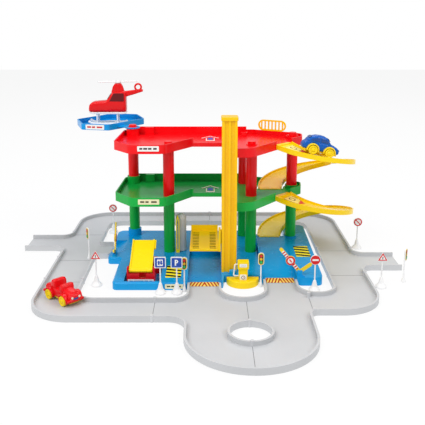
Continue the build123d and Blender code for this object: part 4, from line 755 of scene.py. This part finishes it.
for number, (x, y, foot_height, turned_by) in enumerate(LIGHT_PLACES):
    across = np.array([math.cos(math.radians(turned_by)), math.sin(math.radians(turned_by)), 0])
    ahead = np.array([across[1], -across[0], 0])
    face = np.array([x, y, foot_height + LIGHT_HEIGHT]) + PLATE_HALF * ahead
    plate(f"light_case_{number}", rounded(12, 28, 5.6), face, across, UP, light_case, "garage", 0.6)
    plate(f"light_field_{number}", rounded(9, 24, 4.2), face + 0.6 * ahead, across, UP, sign_black, "garage",
          THIN_FILM)
    for lamp, glass in enumerate(lamp_glass):
        middle = face + 0.9 * ahead + (0, 0, LAMP_STEP * (1 - lamp))
        plate(f"light_lamp_{number}_{lamp}", disc(LAMP_RADIUS), middle, across, UP, glass, "garage", 0.7)

# ---------------------------------------------------------------- toy cars
# A red open roadster on the road and a blue saloon on the ramp: a moulded shell with flared wings,
# snapped over a chassis, which holds two axles with ribbed wheels.
CAR_RED, CAR_RED_DEEP = (0.80, 0.006, 0.010), (0.72, 0.005, 0.008)
CAR_BLUE, CAR_BLUE_DEEP = (0.004, 0.10, 0.46), (0.004, 0.08, 0.40)
WHEEL_YELLOW, GLASS_DARK = (0.95, 0.68, 0.005), (0.004, 0.055, 0.26)
HEADLAMP = (0.85, 0.80, 0.62)
AXLE_HEIGHT, AXLE_RADIUS, WHEEL_OUT, WING_OUT, WING_RADIUS = 11, 1.5, 18.5, 17.2, 14.2
RED_AXLE, BLUE_AXLE = 27, 21.5
RAMP_PITCH = math.degrees(math.atan2(DECK_STEP, math.radians(RAMP_TURN) * RAMP_RADIUS))


def standing(place, heading, pitch=0.0):
    """Returns a function that pitches points nose down, turns them to a heading and moves them."""
    c, s = math.cos(math.radians(pitch)), math.sin(math.radians(pitch))
    nose_down = np.array([[c, 0, s], [0, 1, 0], [-s, 0, c]])
    c, s = math.cos(math.radians(heading)), math.sin(math.radians(heading))
    turn = np.array([[c, -s, 0], [s, c, 0], [0, 0, 1]])
    return lambda points: points @ (turn @ nose_down).T + np.asarray(place)


def wing(name, axle_x, side_y, material, body, place):
    """A flared wheel arch: a squared oval section carried round the wheel over the top half."""
    along = np.radians(np.linspace(-12, 192, 34))
    swell = 1 - 0.35 * np.abs(np.cos(along)) ** 3
    turn = np.linspace(0, 2 * np.pi, 24, endpoint=False)
    out = 1.7 * np.sign(np.cos(turn)) * np.abs(np.cos(turn)) ** 0.6
    wide = 5.6 * np.sign(np.sin(turn)) * np.abs(np.sin(turn)) ** 0.5
    radius, around = WING_RADIUS + out[None, :], along[:, None]
    y = side_y * WING_OUT + wide[None, :] * swell[:, None]
    points = np.stack([axle_x + radius * np.cos(around), y, AXLE_HEIGHT + radius * np.sin(around)], axis=-1)
    grid(name, place(points[::-1]), material, body, wrap=True, capped=True)


def wheels(car, end, axle_x, material, place):
    """Two ribbed wheels with a raised rim and a hub cap on each end of a plain axle."""
    inner_side = [(AXLE_RADIUS, -4), (3.5, -4.3), (3.8, -3.2), (7.4, -2.6), (8.2, -4), (10.4, -4), (11, -3.2)]
    tread = inner_side + [(radius, -across) for radius, across in reversed(inner_side)]
    body = f"{car}_{end}_axle"
    for side_y, flank in ((-1, "right"), (1, "left")):
        middle = (axle_x, side_y * WHEEL_OUT, AXLE_HEIGHT)
        turned(f"{car}_{end}_wheel_{flank}", tread, middle, material, body, columns=60, ribs=15,
               rib_depth=0.018, lying=True, place=place)
    rod = turned(f"{car}_{end}_rod", [(AXLE_RADIUS, -22), (AXLE_RADIUS, 22)], (axle_x, 0, AXLE_HEIGHT),
                 material, body, columns=16, lying=True, place=place)
    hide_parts(f"{car}_{end}_wheels")


def pair(name, function):
    """Makes a piece on the right and on the left of a car."""
    for side_y, flank in ((-1, "right"), (1, "left")):
        function(f"{name}_{flank}", side_y)


def badge(name, outline, middle, along, up, material, body, place, thickness=0.5):
    """A flat shape like a sticker, set out on the upright car and then moved with it."""
    origin, middle, along, up = place(np.array([(0, 0, 0), middle, along, up], dtype=float))
    plate(name, outline, middle, along - origin, up - origin, material, body, thickness)


lamp_clear = moulded("headlamp", HEADLAMP, roughness=0.12, coat=0.6)
glass_dark = moulded("car_glass", GLASS_DARK, roughness=0.10, coat=0.7)
red_shell = moulded("red_shell", CAR_RED, CAR_RED_DEEP, roughness=0.22, coat=0.08)
blue_shell = moulded("blue_shell", CAR_BLUE, CAR_BLUE_DEEP, roughness=0.2, coat=0.08)
wheel_yellow = moulded("wheel_yellow", WHEEL_YELLOW, roughness=0.26)
dress(wheel_yellow, "red_car_chassis", "blue_car_chassis")

red_place = standing((-326, -248, 4.3), -45)
tub = hull(
    "red_car_tub", (-48, -46.5, -43, -36, -24, -14, 6, 14, 22, 36, 44, 47, 48.5),
    (14, 11, 9, 9, 9, 9, 9, 9, 9, 9, 9, 11, 14), (22, 27, 30, 31, 32, 29, 29, 33, 33.5, 30, 27, 24, 19),
    (12, 14.5, 15.5, 13.4, 13.4, 15.8, 15.8, 15, 13.6, 13.4, 15.6, 14.5, 12), red_shell, "red_car", power=5,
    place=red_place,
)
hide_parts("red_car_body")
hull("red_car_seat", (-25, -23.5, -20, -13, -9, -7.5), (26,) * 6, (31, 40, 45.5, 47, 44, 34),
     (13, 15, 16, 16, 15.4, 13), red_shell, "red_car", power=5, place=red_place)
hull("red_car_screen", (8, 9.5, 12.5, 17, 19.5, 21), (26,) * 6, (31, 38, 42, 42, 38, 33),
     (13, 15.4, 16, 16, 15.4, 14), red_shell, "red_car", power=5, place=red_place)
hull("red_car_bonnet", (18, 22, 30, 40, 45), (25, 25, 25, 24, 22), (32, 35, 34, 31, 27), (8, 10, 9.4, 8, 6),
     red_shell, "red_car", power=3, place=red_place)
for side, stations in (("right", (-49, -45)), ("left", (44.5, 49))):  # the rear bumper, then the front one
    hull(f"red_car_bumper_{side}_end", stations, (11, 11), (17, 17), (20, 20), red_shell, "red_car", power=6,
         place=red_place)
for axle_x in (-RED_AXLE, RED_AXLE):
    pair(f"red_car_wing_{axle_x + RED_AXLE}",
         lambda name, side: wing(name, axle_x, side, red_shell, "red_car", red_place))
pair("red_car_lamp", lambda name, side: badge(
    name, disc(2.6), (48.6, side * 9, 21), (0, 1, 0), UP, lamp_clear, "red_car", red_place, 0.8))
badge("red_car_grille", rounded(11, 4.4, 1), (48.8, 0, 18), (0, 1, 0), UP, glass_dark, "red_car", red_place)
for end, axle_x in (("rear", -RED_AXLE), ("front", RED_AXLE)):
    wheels("red_car", end, axle_x, wheel_yellow, red_place)

blue_place = standing((260, -3, 277.3), 8, RAMP_PITCH)
saloon = hull(
    "blue_car_tub", (-47.5, -45.5, -40, -32, -21.5, -10, 10, 21.5, 32, 41, 45.5, 47.5),
    (13, 10.5, 9, 9, 9, 9, 9, 9, 9, 9, 10.5, 13), (19, 25, 29, 32, 33, 32, 32, 32, 30, 26.5, 23, 18),
    (11, 14, 15.4, 15, 13.4, 16.4, 16.4, 13.4, 15, 14.6, 13.2, 10), blue_shell, "blue_car", power=4,
    place=blue_place,
)
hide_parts("blue_car_body")
ROOF_X = (-40, -36, -28, -18, -6, 4, 12, 19, 25)
ROOF_TOP = (30, 36.5, 42.5, 46.6, 48, 47.4, 44, 37, 31)
ROOF_WIDE = (11, 13.4, 14.6, 15.2, 15.4, 15.2, 14.6, 13.6, 12)
ROOF_BOTTOM, ROOF_POWER = 24, 3.2
SILL_HEIGHT, WINDOW_DROP, GLASS_GAP = 33.2, 5.4, 0.25
hull("blue_car_roof", ROOF_X, (ROOF_BOTTOM,) * 9, ROOF_TOP, ROOF_WIDE, blue_shell, "blue_car",
     power=ROOF_POWER, place=blue_place)


def side_glass(name, side):
    """Two side windows: the roof's outline, lowered, is filled down to the sill, and each point
    lies on the roof's flank, whose width follows the superellipse of its section."""
    for part, (start, end) in enumerate(((-31, -9), (-6, 14))):
        x = np.linspace(start, end, 12)[:, None]
        roof, reach = np.interp(x, ROOF_X, ROOF_TOP), np.interp(x, ROOF_X, ROOF_WIDE)
        head = np.maximum(roof - WINDOW_DROP, SILL_HEIGHT + 1)
        z = SILL_HEIGHT + (head - SILL_HEIGHT) * np.linspace(0, 1, 6)
        share = np.abs((z - (ROOF_BOTTOM + roof) / 2) / ((roof - ROOF_BOTTOM) / 2))
        y = reach * (1 - share ** ROOF_POWER) ** (1 / ROOF_POWER) + GLASS_GAP
        points = np.stack([np.broadcast_to(x, z.shape), side * y, z], axis=-1)
        points = points if side < 0 else points[:, ::-1]
        pane = grid(f"{name}_{part}", blue_place(points[::-1]), glass_dark, "blue_car")
        skin = pane.modifiers.new("pane", "SOLIDIFY")
        skin.thickness, skin.offset = 0.5 * MM, 0


pair("blue_car_glass", side_glass)
badge("blue_car_screen", rounded(22, 9, 2), (15.4, 0, 41.2), NORTH, (-7.2, 0, 6.6), glass_dark, "blue_car",
      blue_place, 0.6)
badge("blue_car_rear_screen", rounded(19, 7.5, 2), (-32.6, 0, 39.9), (0, -1, 0), (8, 0, 6.2), glass_dark,
      "blue_car", blue_place, 0.6)
for axle_x in (-BLUE_AXLE, BLUE_AXLE):
    pair(f"blue_car_wing_{int(axle_x + 22)}",
         lambda name, side: wing(name, axle_x, side, wheel_yellow, "blue_car", blue_place))
pair("blue_car_lamp", lambda name, side: badge(
    name, disc(2.8), (46.4, side * 8.6, 21), (0, 1, 0), (-2, 0, 6), lamp_clear, "blue_car", blue_place, 0.8))
for end, axle_x in (("rear", -BLUE_AXLE), ("front", BLUE_AXLE)):
    wheels("blue_car", end, axle_x, wheel_yellow, blue_place)
